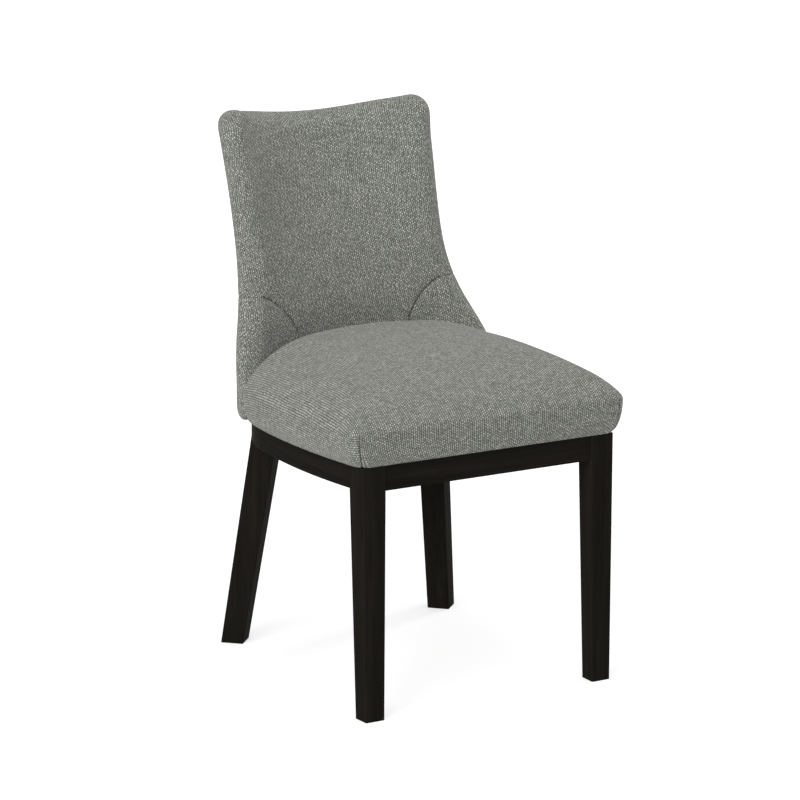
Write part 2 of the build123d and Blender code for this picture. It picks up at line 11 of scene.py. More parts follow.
import bmesh
import bpy
import numpy as np
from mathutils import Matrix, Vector


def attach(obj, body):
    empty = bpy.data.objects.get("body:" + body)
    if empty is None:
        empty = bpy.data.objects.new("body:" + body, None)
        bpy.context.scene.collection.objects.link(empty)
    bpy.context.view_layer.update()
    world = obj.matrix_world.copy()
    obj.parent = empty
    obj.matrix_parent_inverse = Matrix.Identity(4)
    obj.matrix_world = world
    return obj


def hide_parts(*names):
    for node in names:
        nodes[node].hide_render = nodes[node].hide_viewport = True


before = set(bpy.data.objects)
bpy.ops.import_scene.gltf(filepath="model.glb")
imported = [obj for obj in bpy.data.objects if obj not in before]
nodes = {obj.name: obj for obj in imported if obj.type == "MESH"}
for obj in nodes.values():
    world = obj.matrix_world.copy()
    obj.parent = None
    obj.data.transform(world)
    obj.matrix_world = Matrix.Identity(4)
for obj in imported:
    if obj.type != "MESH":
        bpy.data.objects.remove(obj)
scene = bpy.context.scene
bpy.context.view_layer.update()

# %% [markdown]
# ## Camera
# The photograph looks at the chair's front left corner from a little above, with a long lens, so the
# upright lines stay almost parallel. The place and the lens were solved from the chair's own straight
# edges.

# %% Place the camera
CAMERA_PLACE = Vector((-2.953, -5.125, 1.857))
CAMERA_TARGET = Vector((-0.123, -0.231, 0.502))
CAMERA_LENS = 163.55
CAMERA_SENSOR = 36.0
CAMERA_REACH = 100.0


def new_object(name, data):
    """An object for the data, linked to the scene."""
    made = bpy.data.objects.new(name, data)
    scene.collection.objects.link(made)
    return made


camera = new_object("camera", bpy.data.cameras.new("camera"))
scene.camera = camera
camera.data.lens = CAMERA_LENS
camera.data.sensor_width = CAMERA_SENSOR
camera.data.clip_end = CAMERA_REACH
camera.location = CAMERA_PLACE
camera.rotation_mode = "QUATERNION"
camera.rotation_quaternion = (CAMERA_TARGET - CAMERA_PLACE).to_track_quat("-Z", "Y")
print("camera distance", round((CAMERA_TARGET - CAMERA_PLACE).length, 2))

# %% [markdown]
# ## Writing shaders as sums
# A finish is easier to read as a formula than as a pile of nodes. A Wire stands for one socket, and the
# usual operators on wires add Math nodes. A NodeTree adds every other kind of node in one way, and a
# Finish is the tree of one material.


# %% One socket as a value
class Wire:
    """One socket of a node tree. Arithmetic on wires adds Math nodes to the tree that owns them."""

    def __init__(self, tree, socket):
        self.tree = tree
        self.socket = socket

    def math(self, operation, other=None):
        values = {0: self} if other is None else {0: self, 1: other}
        return self.tree.node("ShaderNodeMath", {"operation": operation}, values)

    def __add__(self, other):
        return self.math("ADD", other)

    def __mul__(self, other):
        return self.math("MULTIPLY", other)

    def __sub__(self, other):
        return self.math("SUBTRACT", other)

    def __truediv__(self, other):
        return self.math("DIVIDE", other)

    def __pow__(self, other):
        return self.math("POWER", other)

    def __rsub__(self, other):
        return self.tree.node("ShaderNodeMath", {"operation": "SUBTRACT"}, {0: other, 1: self})

    __radd__ = __add__
    __rmul__ = __mul__

    def clamped(self):
        settings = {"operation": "ADD", "use_clamp": True}
        return self.tree.node("ShaderNodeMath", settings, {0: self, 1: 0.0})


# %% One tree of nodes
class NodeTree:
    """A tree of nodes, and one way to add to it: the kind, its settings, then what its sockets get."""

    def __init__(self, group):
        self.group = group

    def node(self, kind, settings=None, inputs=None, output=0):
        made = self.group.nodes.new(kind)
        for name, value in (settings or {}).items():
            setattr(made, name, value)
        for name, value in (inputs or {}).items():
            self.feed(made.inputs[name], value)
        return Wire(self, made.outputs[output])

    def feed(self, socket, value):
        if isinstance(value, Wire):
            self.group.links.new(value.socket, socket)
        else:
            socket.default_value = value


# %% One material
class Finish(NodeTree):
    """A material with one Principled shader."""

    def __init__(self, name):
        self.material = bpy.data.materials.new(name)
        self.material.use_nodes = True
        super().__init__(self.material.node_tree)
        self.shader = self.group.nodes["Principled BSDF"]

    def set(self, **sockets):
        """Feeds the Principled shader: base_color=..., roughness=... and so on."""
        for name, value in sockets.items():
            label = name.replace("_", " ").title().replace("Ior", "IOR")
            self.feed(self.shader.inputs[label], value)

    def place(self, *scale):
        """Object coordinates, stretched by a factor along each axis."""
        where = self.node("ShaderNodeTexCoord", output="Object")
        return self.node("ShaderNodeMapping", inputs={"Vector": where, "Scale": scale})

    def noise(self, vector, scale, detail=2.0, roughness=0.5):
        values = {"Vector": vector, "Scale": scale, "Detail": detail, "Roughness": roughness}
        return self.node("ShaderNodeTexNoise", inputs=values)

    def mix(self, factor, first, second, blend="MIX"):
        """Mixes two colours, which are inputs 6 and 7 and output 2 of the Mix node."""
        settings = {"data_type": "RGBA", "blend_type": blend}
        return self.node("ShaderNodeMix", settings, {"Factor": factor, 6: first, 7: second}, output=2)

    def grey(self, value):
        return self.node("ShaderNodeCombineColor", inputs={channel: value for channel in range(3)})

    def bump(self, height, distance, strength):
        values = {"Height": height, "Distance": distance, "Strength": strength}
        return self.node("ShaderNodeBump", inputs=values)


# %% [markdown]
# ## Dark wood
# The legs and aprons are stained almost black under a dull lacquer. Close to, long pores run along each
# rail, and the stain is a little redder between them. Stretching a noise along the grain gives such
# pores. The grain has to run along each piece, so the same finish is made once for each direction.

# %% Dark wood along an axis
STAIN_DARK = (0.0052, 0.0050, 0.0043, 1.0)
STAIN_WARM = (0.0140, 0.0118, 0.0094, 1.0)
LACQUER_SHINE, PORE_DEPTH = 0.005, 0.0002
GRAIN_LENGTHS = {"x": (2.5, 60.0, 60.0), "y": (60.0, 2.5, 60.0), "z": (60.0, 60.0, 2.5)}


def dark_wood(direction):
    """Dark stained wood with its grain along one axis."""
    wood = Finish(f"dark_wood_{direction}")
    along = wood.place(*GRAIN_LENGTHS[direction])
    figure = wood.noise(along, 1.0, 4.0, 0.6)
    pores = wood.noise(along, 6.0, 3.0, 0.7)
    lines = ((pores - 0.52) * 9.0).clamped()
    tone = (figure * 1.6 - 0.3).clamped()
    wood.set(base_color=wood.mix(tone * (1 - lines * 0.5), STAIN_DARK, STAIN_WARM))
    wood.set(roughness=0.48 + 0.12 * figure + 0.1 * lines, specular_ior_level=LACQUER_SHINE)
    wood.set(normal=wood.bump(1 - lines, PORE_DEPTH, 0.35))
    return wood


def wear(piece, finish):
    """Gives a piece one finish all over."""
    piece.data.materials.clear()
    piece.data.materials.append(finish.material)


dark_woods = {direction: dark_wood(direction) for direction in GRAIN_LENGTHS}
GRAIN_OF = {
    "z": ("front_left_leg", "front_right_leg", "rear_left_leg", "rear_right_leg"),
    "x": ("front_apron", "rear_apron"),
    "y": ("left_apron", "right_apron"),
}
for direction, names in GRAIN_OF.items():
    for name in names:
        wear(nodes[name], dark_woods[direction])
print("dark wood on", sum(len(names) for names in GRAIN_OF.values()), "nodes")

# %% [markdown]
# ## Hidden wood and hardware
# Nobody sees the blocks, the plywood and the screws from above, but some of them show from below. Beech
# is pale with short flecks, plywood shows its plies on the edge, and the hardware is zinc plated with a
# slightly patchy haze. Flat colours would do, but a noise along the grain costs little and holds up when
# the chair is turned over.

# %% Plain wood
BEECH_TONES = ((0.40, 0.26, 0.14, 1.0), (0.62, 0.46, 0.29, 1.0))
FLECK_TONE = (0.30, 0.18, 0.09, 1.0)
GRAIN_DEPTH = 0.0003


def plain_wood():
    """Unfinished beech."""
    wood = Finish("plain_wood")
    along = wood.place(5.0, 70.0, 70.0)
    figure = wood.noise(along, 1.0, 4.0, 0.6)
    flecks = ((wood.noise(along, 9.0, 2.0) - 0.6) * 8.0).clamped()
    tone = wood.mix(figure, *BEECH_TONES)
    wood.set(base_color=wood.mix(flecks * 0.5, tone, FLECK_TONE))
    wood.set(roughness=0.55 + 0.2 * figure)
    wood.set(normal=wood.bump(figure - flecks * 0.4, GRAIN_DEPTH, 0.3))
    return wood


PLAIN_PIECES = ("seat_cross_rail", "front_corner_blocks", "apron_dowels", "back_lower_rail")
plain = plain_wood()
for name in PLAIN_PIECES:
    wear(nodes[name], plain)
print("plain wood on", len(PLAIN_PIECES), "nodes")

# %% Plywood
PLY_STEP = 0.0024
PLY_TONES = ((0.46, 0.32, 0.18, 1.0), (0.66, 0.51, 0.33, 1.0))
CROSS_PLY_TONE = (0.33, 0.20, 0.10, 1.0)


def plywood():
    """Plywood, with its plies as stripes across the height."""
    wood = Finish("plywood")
    where = wood.node("ShaderNodeTexCoord", output="Object")
    height = wood.node("ShaderNodeSeparateXYZ", inputs={0: where}, output=2)
    stripes = ((height / PLY_STEP).math("SINE") * 2.0 + 0.5).clamped()
    figure = wood.noise(wood.place(6.0, 80.0, 80.0), 1.0, 4.0, 0.6)
    face = wood.mix(figure, *PLY_TONES)
    wood.set(base_color=wood.mix(stripes * 0.35, face, CROSS_PLY_TONE))
    wood.set(roughness=0.6 + 0.15 * figure)
    wood.set(normal=wood.bump(figure + stripes * 0.4, GRAIN_DEPTH, 0.3))
    return wood


ply = plywood()
for name in ("seat_board", "back_shell"):
    wear(nodes[name], ply)
print("ply step", PLY_STEP)

# %% Steel
ZINC_TONES = ((0.42, 0.42, 0.41, 1.0), (0.66, 0.66, 0.63, 1.0))
FASTENERS = (
    "corner_hanger_bolts", "corner_hanger_nuts", "rear_leg_screws", "seat_screws",
    "shell_screws", "back_bolts", "back_bolt_washers", "back_insert_nuts",
)


def zinc():
    """Zinc plated steel."""
    steel = Finish("zinc_plate")
    haze = steel.noise(steel.place(1.0, 1.0, 1.0), 180.0, 3.0, 0.6)
    steel.set(base_color=steel.mix(haze, *ZINC_TONES))
    steel.set(metallic=1.0, roughness=0.28 + 0.22 * haze)
    return steel


steel = zinc()
for name in FASTENERS:
    wear(nodes[name], steel)
print("steel on", len(FASTENERS), "nodes")

# %% [markdown]
# ## The weave
# The cover is a plain weave of slubby yarns: pale ones cross the chair, greyer ones run from the floor
# up or from front to rear. Each yarn goes over one and under the next, so light and dark floats make a
# fine chequer of about 3.7 by 2.1 mm. The product of two sines has just that pattern. It is drawn in the
# cloth's own flat coordinates, in metres, so that the yarns follow each panel round its curves. The dark
# tone between the floats and down the sides of each round yarn is painted shade. On the tight seat the
# cloth is stretched a little and its rows of floats line up, and on the softer back they slip past each
# other, so the cloth gets one finish for each. The deeper a seam pulls the cloth in, the more painted
# shade darkens it there.

# %% The woven cover
WARP_PITCH = 0.0037
WEFT_PITCH = 0.0021
# Painted shade: the dark tone between the floats, down the sides of each yarn and in the seams.
PAINTED_SHADE_TONE = (0.016, 0.017, 0.015, 1.0)
WARP_TONES = ((0.150, 0.157, 0.140, 1.0), (0.300, 0.308, 0.280, 1.0))
WEFT_TONES = ((0.260, 0.268, 0.242, 1.0), (0.500, 0.508, 0.462, 1.0))
CREAM_TONE, CREAM_START, CREAM_STRENGTH = (0.74, 0.72, 0.60, 1.0), 0.84, 0.3
YARN_HEIGHT, WANDER = 0.0008, 1.3
# Painted shade in the seam valleys: full at this seam depth, and as strong as given for each finish.
SEAM_SHADE_DEPTH = 0.0012
SEAT_SLIP, SEAT_SEAM_SHADE = 0.15, 0.75
BACK_SLIP, BACK_SEAM_SHADE = 0.7, 0.15


def woven_cover(name, slip, seam_shade):
    """The cover cloth. Slip is how far, in yarns, one row of floats may lie beside the next one."""
    cloth = Finish(name)
    flat = cloth.node("ShaderNodeUVMap", {"uv_map": "weave"})
    x = cloth.node("ShaderNodeSeparateXYZ", inputs={0: flat}, output=0)
    y = cloth.node("ShaderNodeSeparateXYZ", inputs={0: flat}, output=1)

    def streaks(per_metre_x, per_metre_y, detail=1.0):
        """A noise that is drawn out along the yarns of one direction."""
        where = cloth.node("ShaderNodeCombineXYZ", inputs={0: x * per_metre_x, 1: y * per_metre_y})
        return cloth.noise(where, 1.0, detail)

    along = y / WEFT_PITCH + streaks(22.0, 45.0) * WANDER
    row = along.math("FLOOR")
    beside = cloth.node("ShaderNodeTexWhiteNoise", {"noise_dimensions": "1D"}, {"W": row})
    across = x / WARP_PITCH + streaks(24.0, 22.0) * WANDER + beside * slip
    chequer = (across * math.pi).math("SINE") * (along * math.pi).math("SINE")
    slub = streaks(38.0, 330.0, 2.0)
    weft_over = (chequer * 2.0 + slub * 0.9 + 0.05).clamped()
    roundness = chequer.math("ABSOLUTE") ** 0.8

    cell = cloth.node("ShaderNodeCombineXYZ", inputs={0: across.math("FLOOR"), 1: row})
    fleck = cloth.node("ShaderNodeTexWhiteNoise", {"noise_dimensions": "2D"}, {"Vector": cell})
    warp = cloth.mix((streaks(300.0, 14.0) * 0.6 + fleck * 1.1 - 0.35).clamped(), *WARP_TONES)
    weft = cloth.mix((slub * 1.1 + fleck * 1.1 - 0.6).clamped(), *WEFT_TONES)
    weft = cloth.mix(((fleck - CREAM_START) * 10.0).clamped() * CREAM_STRENGTH, weft, CREAM_TONE)
    yarn = cloth.mix(weft_over, warp, weft)
    heather = cloth.noise(flat, 26.0, 3.0)
    shade = cloth.grey(0.9 + heather * 0.2)
    # Painted shade: the deeper a seam pulls the cloth in, the nearer its colour goes to the dark tone.
    depth = cloth.node("ShaderNodeAttribute", {"attribute_name": "seam_depth"}, output="Fac")
    painted_seam_shade = (depth / SEAM_SHADE_DEPTH).clamped()
    # Painted shade: towards the edges of each float, the yarn's colour goes over to the dark tone.
    woven = cloth.mix(painted_seam_shade * seam_shade, cloth.mix(roundness, PAINTED_SHADE_TONE, yarn), PAINTED_SHADE_TONE)
    cloth.set(base_color=cloth.mix(1.0, woven, shade, "MULTIPLY"))
    cloth.set(roughness=0.94 - 0.1 * roundness, specular_ior_level=0.15)
    cloth.set(sheen_weight=0.08, sheen_roughness=0.5)
    cloth.set(normal=cloth.bump(roundness * (0.7 + 0.6 * slub), YARN_HEIGHT, 0.6))
    return cloth


seat_cloth = woven_cover("woven_seat_cover", SEAT_SLIP, SEAT_SEAM_SHADE)
back_cloth = woven_cover("woven_back_cover", BACK_SLIP, BACK_SEAM_SHADE)
print("weave pitch", WARP_PITCH, WEFT_PITCH)

# %% [markdown]
# ## Covers as grids
# A cover is cut from flat cloth, so each panel is laid out as a grid: its points in space, and beside
# them where they lay on the flat cloth. Grids that share an edge are welded, and every corner keeps its
# flat place, so the weave may break at a seam just as it does on a sewn cover.

# %% Welded grids
WELD_DISTANCE, SLIVER_DISTANCE = 2e-5, 1e-6


class Cover:
    """Panels of one soft piece, laid out as grids and welded into one mesh."""

    def __init__(self):
        self.bm = bmesh.new()
        self.flat = self.bm.loops.layers.uv.new("weave")
        self.panel = self.bm.faces.layers.int.new("panel")
        self.depth = self.bm.verts.layers.float.new("seam_depth")
        self.held = self.bm.verts.layers.float.new("held")

    def grid(self, points, flat, panel, depth=0.0, held=0.0):
        """Adds a grid of quads. Panel numbers belong to cells, all other values to points."""
        rows, columns = points.shape[:2]
        panel = np.broadcast_to(panel, (rows - 1, columns - 1))
        depth, held = (np.broadcast_to(values, (rows, columns)) for values in (depth, held))
        verts = {place: self.bm.verts.new(points[place]) for place in np.ndindex(rows, columns)}
        for place, vert in verts.items():
            vert[self.depth] = depth[place]
            vert[self.held] = held[place]
        for i, j in np.ndindex(rows - 1, columns - 1):
            corners = ((i, j), (i, j + 1), (i + 1, j + 1), (i + 1, j))
            face = self.bm.faces.new([verts[place] for place in corners])
            face[self.panel] = int(panel[i, j])
            face.smooth = True
            for loop, place in zip(face.loops, corners):
                loop[self.flat].uv = flat[place]

    def finish(self, name):
        """Welds the grids, turns all faces outwards and returns the object."""
        bmesh.ops.remove_doubles(self.bm, verts=self.bm.verts, dist=WELD_DISTANCE)
        bmesh.ops.dissolve_degenerate(self.bm, edges=self.bm.edges, dist=SLIVER_DISTANCE)
        bmesh.ops.recalc_face_normals(self.bm, faces=self.bm.faces)
        mesh = bpy.data.meshes.new(name)
        self.bm.to_mesh(mesh)
        self.bm.free()
        return new_object(name, mesh)


# %% [markdown]
# ## Filling the covers
# A padded cover is tight because its filling pushes against it. Cloth simulation does the same: the
# cover starts a little small, is held along its seams and staples, and pressure swells it for a few
# frames. Free cloth would go on towards a ball, so only the outward push is kept: foam lets the cover
# sink nowhere, gives way by a few millimetres at most, and evens out short wrinkles. Last, the seams
# pull their valleys in.


# %% Points and values of a mesh
def points_of(mesh):
    """The points of a mesh, one in each row."""
    flat = np.empty(len(mesh.vertices) * 3, np.float32)
    mesh.vertices.foreach_get("co", flat)
    return flat.reshape(-1, 3).astype(float)


def vertex_values(mesh, name):
    """A value that is kept on each point."""
    values = np.empty(len(mesh.vertices), np.float32)
    mesh.attributes[name].data.foreach_get("value", values)
    return values.astype(float)


def normals_of(mesh):
    """The normal at each point."""
    return np.array([vertex.normal for vertex in mesh.vertices])


def move_out(mesh, distance):
    """Moves each point along its normal."""
    points = points_of(mesh) + normals_of(mesh) * distance[:, None]
    mesh.vertices.foreach_set("co", points.astype(np.float32).ravel())
    mesh.update()


# %% The push of the filling
SWELL_FRAMES = 20
SWELL_PRESSURE = 4.0
CLOTH_QUALITY = 6
CLOTH_TENSION, CLOTH_SHEAR, CLOTH_BENDING = 20.0, 8.0, 2.0


def pushed(piece):
    """How far the filling pushes each point of the cover along its normal."""
    mesh = piece.data
    rest, normals = points_of(mesh), normals_of(mesh)
    group = piece.vertex_groups.new(name="held")
    for index, weight in enumerate(vertex_values(mesh, "held")):
        if weight > 0:
            group.add([index], float(weight), "REPLACE")
    filling = piece.modifiers.new("filling", "CLOTH")
    settings = filling.settings
    settings.quality = CLOTH_QUALITY
    settings.tension_stiffness = settings.compression_stiffness = CLOTH_TENSION
    settings.shear_stiffness = CLOTH_SHEAR
    settings.bending_stiffness = CLOTH_BENDING
    settings.use_pressure = True
    settings.uniform_pressure_force = SWELL_PRESSURE
    settings.effector_weights.gravity = 0.0
    settings.vertex_group_mass = group.name
    for step in range(1, SWELL_FRAMES + 1):
        scene.frame_set(step)
    swollen = piece.evaluated_get(bpy.context.evaluated_depsgraph_get())
    push = ((points_of(swollen.data) - rest) * normals).sum(axis=1)
    piece.modifiers.remove(filling)
    scene.frame_set(1)
    return push


# %% Swell and draw in
EVEN_ROUNDS = 15


def swell(piece, limit):
    """Moves the cover outwards, by the limit at most, and evens the movement out."""
    mesh = piece.data
    free = 1 - vertex_values(mesh, "held")
    push = pushed(piece)
    push = free * limit / 2 * (1 + np.tanh(push / limit))
    ends = np.empty(len(mesh.edges) * 2, np.int32)
    mesh.edges.foreach_get("vertices", ends)
    first, second = ends.reshape(-1, 2).T
    count = np.bincount(ends, minlength=len(free))
    for _ in range(EVEN_ROUNDS):
        around = np.bincount(first, push[second], len(free))
        around = around + np.bincount(second, push[first], len(free))
        push += 0.5 * free * (around / count - push)
    move_out(mesh, push)
    print(piece.name, "pushed out by", np.round(np.percentile(push, (5, 50, 95)) * 1000, 2), "mm")


def filled(cover, name, limit):
    """Welds the grids of a cover, swells them and draws the seams in."""
    made = cover.finish(name)
    swell(made, limit)
    move_out(made.data, -vertex_values(made.data, "seam_depth"))
    return made


# %% [markdown]
# ## The seat
# The seat is a boxed cushion. Its skirt swells out above the frame, turns over a tight shoulder and
# climbs to a low crown near the back. Every level has the same kind of outline. The skirt's outlines
# swell, and the crown's are drawn in by a share of their size, faster at the rear, where the corners are
# lifted so that no outline crosses its neighbour. A stack of outlines then gives the whole form.
# Rounding off a box would be quicker, but it couldn't follow the curved sides of the frame. The cover is
# sewn up only at the two front corners, below the shoulder, and stapled under the board.


# %% Arcs and lines in plan
def arc_through(start, middle, end, shares):
    """Points of the plan arc through three points, at the given shares of its length."""
    a, m, b = (complex(*p) for p in (start, middle, end))
    w = (b - a) / (m - a)
    centre = a + (m - a) * (w - abs(w) ** 2) / (2j * w.imag)
    first = np.angle(a - centre)
    turns = [np.angle((p - centre) / (a - centre)) % (2 * math.pi) for p in (m, b)]
    sweep = turns[1] if turns[0] < turns[1] else turns[1] - 2 * math.pi
    angles = first + sweep * np.asarray(shares)
    radius = abs(a - centre)
    x, y = centre.real + radius * np.cos(angles), centre.imag + radius * np.sin(angles)
    return np.stack([x, y], axis=-1)


def line_between(start, end, shares):
    """Points of a straight line, at the given shares of its length."""
    return np.asarray(start) + (np.asarray(end) - np.asarray(start)) * np.asarray(shares)[:, None]


def mirrored(points):
    """The same line on the other side of the chair, walked back."""
    return points[::-1] * (-1, 1)


# %% Outline of the seat
AXIS_Y = -0.006
FRAME_TOP = 0.420
FRONT_Y = -0.309
FRONT_HALF = 0.240
SIDE_HALF = 0.2545
SIDE_WIDEST_Y = -0.099
REAR_RADIUS = 0.2504
TIP_ANGLE = math.radians(79.0)
REAR_CORNER = (0.205, 0.050)
REAR_Y = 0.133
CORNER_RADIUS = 0.028
SWELL_CORNER_RADIUS = 0.019
SWELL_HEIGHT = 0.4755
SIDE_BULGE = 0.0205
FRONT_BULGE = 0.0059
SHOULDER, SHOULDER_SQUARENESS = 0.018, 7.4
CROWN, CROWN_SQUARENESS = 0.0585, 3.2
CREST_Y = 0.100
REAR_SLOPE, CREST_SPREAD = 2.1, 0.3
TIP_CLIMB, TIP_CLIMB_SLOPE, TIP_CLIMB_START = 0.10, 0.42, 0.1
FRONT_STEPS, CORNER_STEPS, SIDE_STEPS, TIP_STEPS, REAR_STEPS = 30, 6, 40, 4, 22
SEAM_SHIFT, SEAM_GUARD = 0.36, 0.035


def seat_outline(swelling, narrow, inset):
    """The four sides of one level: front, right, rear and left, each from seam to seam."""
    rear_narrow = narrow**REAR_SLOPE + CREST_SPREAD * narrow * (1 - narrow)

    def ahead(y):
        return CREST_Y - (CREST_Y - y) * narrow

    def behind(y):
        return CREST_Y + (y - inset - CREST_Y) * rear_narrow

    grow = SIDE_BULGE * swelling - inset
    front = ahead(FRONT_Y - FRONT_BULGE * swelling + inset)
    corner = (CORNER_RADIUS + (SWELL_CORNER_RADIUS - CORNER_RADIUS) * swelling) * narrow
    bend = corner * (1 - math.sqrt(0.5))
    front_x = (FRONT_HALF + grow) * narrow
    tip_radius = REAR_RADIUS + grow
    tip_y = AXIS_Y + tip_radius * math.cos(TIP_ANGLE)
    tip = (tip_radius * math.sin(TIP_ANGLE) * narrow, behind(tip_y))
    rear_x = (REAR_CORNER[0] - inset) * narrow
    climb = (TIP_CLIMB + TIP_CLIMB_SLOPE * narrow) * min(1.0, (1 - narrow) / TIP_CLIMB_START)
    rear_corner = (rear_x, max(behind(REAR_CORNER[1]), tip[1] + climb * (tip[0] - rear_x)))
    split = 0.5 - SEAM_SHIFT * swelling
    before = np.append(np.linspace(0, split - SEAM_GUARD, CORNER_STEPS), split)
    after = np.append(split, np.linspace(split + SEAM_GUARD, 1, CORNER_STEPS))
    corner_middle = (front_x - bend, front + bend)
    corner_arc = ((front_x - corner, front), corner_middle, (front_x, front + corner))
    half_front = np.vstack([
        line_between((0, front), corner_arc[0], np.linspace(0, 1, FRONT_STEPS + 1))[:-1],
        arc_through(*corner_arc, before),
    ])
    widest = ((SIDE_HALF + grow) * narrow, ahead(SIDE_WIDEST_Y))
    side = np.vstack([
        arc_through(*corner_arc, after)[:-1],
        arc_through(corner_arc[2], widest, tip, np.linspace(0, 1, SIDE_STEPS + 1)),
    ])
    rear_arc = (rear_corner, (0, behind(REAR_Y)), (-rear_corner[0], rear_corner[1]))
    half_rear = np.vstack([
        line_between(tip, rear_corner, np.linspace(0, 1, TIP_STEPS + 1))[:-1],
        arc_through(*rear_arc, np.linspace(0, 0.5, REAR_STEPS + 1)),
    ])
    front_side = np.vstack([mirrored(half_front)[:-1], half_front])
    rear_side = np.vstack([half_rear, mirrored(half_rear)[1:]])
    return front_side, side, rear_side, mirrored(side)


print("points round the seat", sum(len(side) - 1 for side in seat_outline(1.0, 1.0, 0.0)))

# %% [markdown]
# The stack runs from the crest over the crown, down the skirt and in under the board, as far as the hem.
# Then it goes back round the board's edge and closes on top of it, so the cushion leaves room for the
# board. On the flat cloth, the crown lies as in plan, let out square to its edge by what its slope adds,
# and the skirt hangs straight down from each side of it, let out round the corners to its full length.
# So the yarns break at the corner seams, as they do on the sewn cover.

# %% Levels of the seat
COVER_LIFT = 0.0002
SEAT_SWELL = 0.0015
SKIRT_STEPS, CROWN_STEPS = 12, 44
CROWN_SPREAD, CREST_RING = 1.5, 0.96
BOARD_TOP, BOARD_GAP = 0.4344, 0.0021
HEM_WIDTH, HEM_THICKNESS = 0.040, 0.0017


def seat_levels():
    """Height, swelling, narrowing and inset of each level, from the crest down to the frame."""
    levels = []
    for share in np.linspace(CREST_RING, 0.0, CROWN_STEPS + 1):
        narrow = 1 - share**CROWN_SPREAD
        shoulder = SHOULDER * math.sqrt(1 - narrow**SHOULDER_SQUARENESS)
        rise = shoulder + CROWN * (1 - narrow**CROWN_SQUARENESS)
        full = SHOULDER + CROWN
        levels.append((SWELL_HEIGHT + rise * (full - SEAT_SWELL) / full, 1.0, narrow, SEAT_SWELL))
    for turn in np.linspace(0, math.pi / 2, SKIRT_STEPS + 1)[1:]:
        drop = (SWELL_HEIGHT - FRAME_TOP - COVER_LIFT) * math.sin(turn)
        levels.append((SWELL_HEIGHT - drop, math.cos(turn), 1.0, SEAT_SWELL * math.cos(turn)))
    return levels


levels = seat_levels()
under = [
    (FRAME_TOP + COVER_LIFT, 0.0, 1.0, HEM_WIDTH / 2),
    (FRAME_TOP + COVER_LIFT, 0.0, 1.0, HEM_WIDTH),
    (FRAME_TOP + HEM_THICKNESS, 0.0, 1.0, HEM_WIDTH),
    (FRAME_TOP + HEM_THICKNESS, 0.0, 1.0, BOARD_GAP),
    (BOARD_TOP, 0.0, 1.0, BOARD_GAP),
    (BOARD_TOP, 0.0, 1.0, HEM_WIDTH),
]
stack = [(z, seat_outline(*form)) for z, *form in levels + under]
print("levels", len(stack), "crest at", round(levels[0][0], 3))

# %% Flat cloth of the seat
FLAT_WAYS = ((0, -1), (1, 0), (0, 1), (-1, 0))
CORNER_COSINE = 0.96


def outward_ways(outline):
    """For each side, the direction square to the outline in plan, turning gently round the corners."""
    ring = np.vstack([side[:-1] for side in outline])
    along = np.roll(ring, -1, axis=0) - np.roll(ring, 1, axis=0)
    ways = np.stack([along[:, 1], -along[:, 0]], axis=-1)
    for _ in range(EVEN_ROUNDS):
        ways = ways / np.linalg.norm(ways, axis=1, keepdims=True)
        ways = (np.roll(ways, 1, axis=0) + ways + np.roll(ways, -1, axis=0)) / 3
    starts = np.cumsum([0] + [len(side) - 1 for side in outline])
    return [ways[np.arange(first, last + 1) % len(ring)] for first, last in zip(starts, starts[1:])]


def down_the_rows(points):
    """Length walked from the first row, down each column."""
    steps = np.linalg.norm(np.diff(points, axis=0), axis=2)
    return np.vstack([np.zeros(points.shape[1]), np.cumsum(steps, axis=0)])


def crown_flat(points, ways):
    """Where the points of one side of the crown lie on the flat cloth."""
    extra = down_the_rows(points) - down_the_rows(points[:, :, :2])
    return points[:, :, :2] + extra[:, :, None] * ways


def skirt_flat(points, crown_edge, side):
    """The skirt hangs straight from the edge of the crown. Round a corner it is let out in full."""
    down = np.array(FLAT_WAYS[side])
    onward = np.array((-down[1], down[0]))
    ring = np.diff(points[0, :, :2], axis=0)
    length = np.linalg.norm(ring, axis=1)
    steps = np.diff(crown_edge, axis=0)
    turned = ring @ onward < CORNER_COSINE * length
    steps[turned] = length[turned, None] * onward
    edge = np.vstack([np.zeros(2), np.cumsum(steps, axis=0)])
    middle = len(edge) // 2
    edge = edge + crown_edge[middle] - edge[middle]
    return edge + down_the_rows(points)[:, :, None] * down


crown_edge = stack[CROWN_STEPS][1]
seat_ways = outward_ways(crown_edge)
print("width at the crown's edge", round(2 * float(crown_edge[1][:, 0].max()), 3))

# %% Sew and fill the seat
SEAT_PUFF = 0.0030
CORNER_SEAM_TOP, CORNER_SEAM_FADE = 0.486, 0.020
CORNER_SEAM_DEPTH, CORNER_SEAM_HOLD = 0.0018, 0.5
CORNER_SEAMS = ((0, -1), (0,), (), (-1,))
SEAT_STRETCH = 0.95
REAR = 2


def make_seat():
    """Sews the four sides into one cover and fills it."""
    cover = Cover()
    for side in range(4):
        points = np.array([[(x, y, z) for x, y in outline[side]] for z, outline in stack])
        seam = np.zeros(points.shape[:2])
        for end in CORNER_SEAMS[side]:
            seam[:, end] = np.clip((CORNER_SEAM_TOP - points[:, end, 2]) / CORNER_SEAM_FADE, 0, 1)
        seam[len(levels):] = 0.0
        held = seam * CORNER_SEAM_HOLD
        held[len(levels) - 1:] = 1.0
        if side == REAR:
            held[CROWN_STEPS + 1:] = 1.0
        crown, skirt = slice(0, CROWN_STEPS + 1), slice(CROWN_STEPS, None)
        flat = crown_flat(points[crown], seat_ways[side])
        parts = ((crown, flat), (skirt, skirt_flat(points[skirt], flat[-1], side)))
        for part, part_flat in parts:
            depth = seam[part] * CORNER_SEAM_DEPTH
            cover.grid(points[part], part_flat * SEAT_STRETCH, 0, depth, held[part])
    return filled(cover, "seat_cushion", SEAT_PUFF)


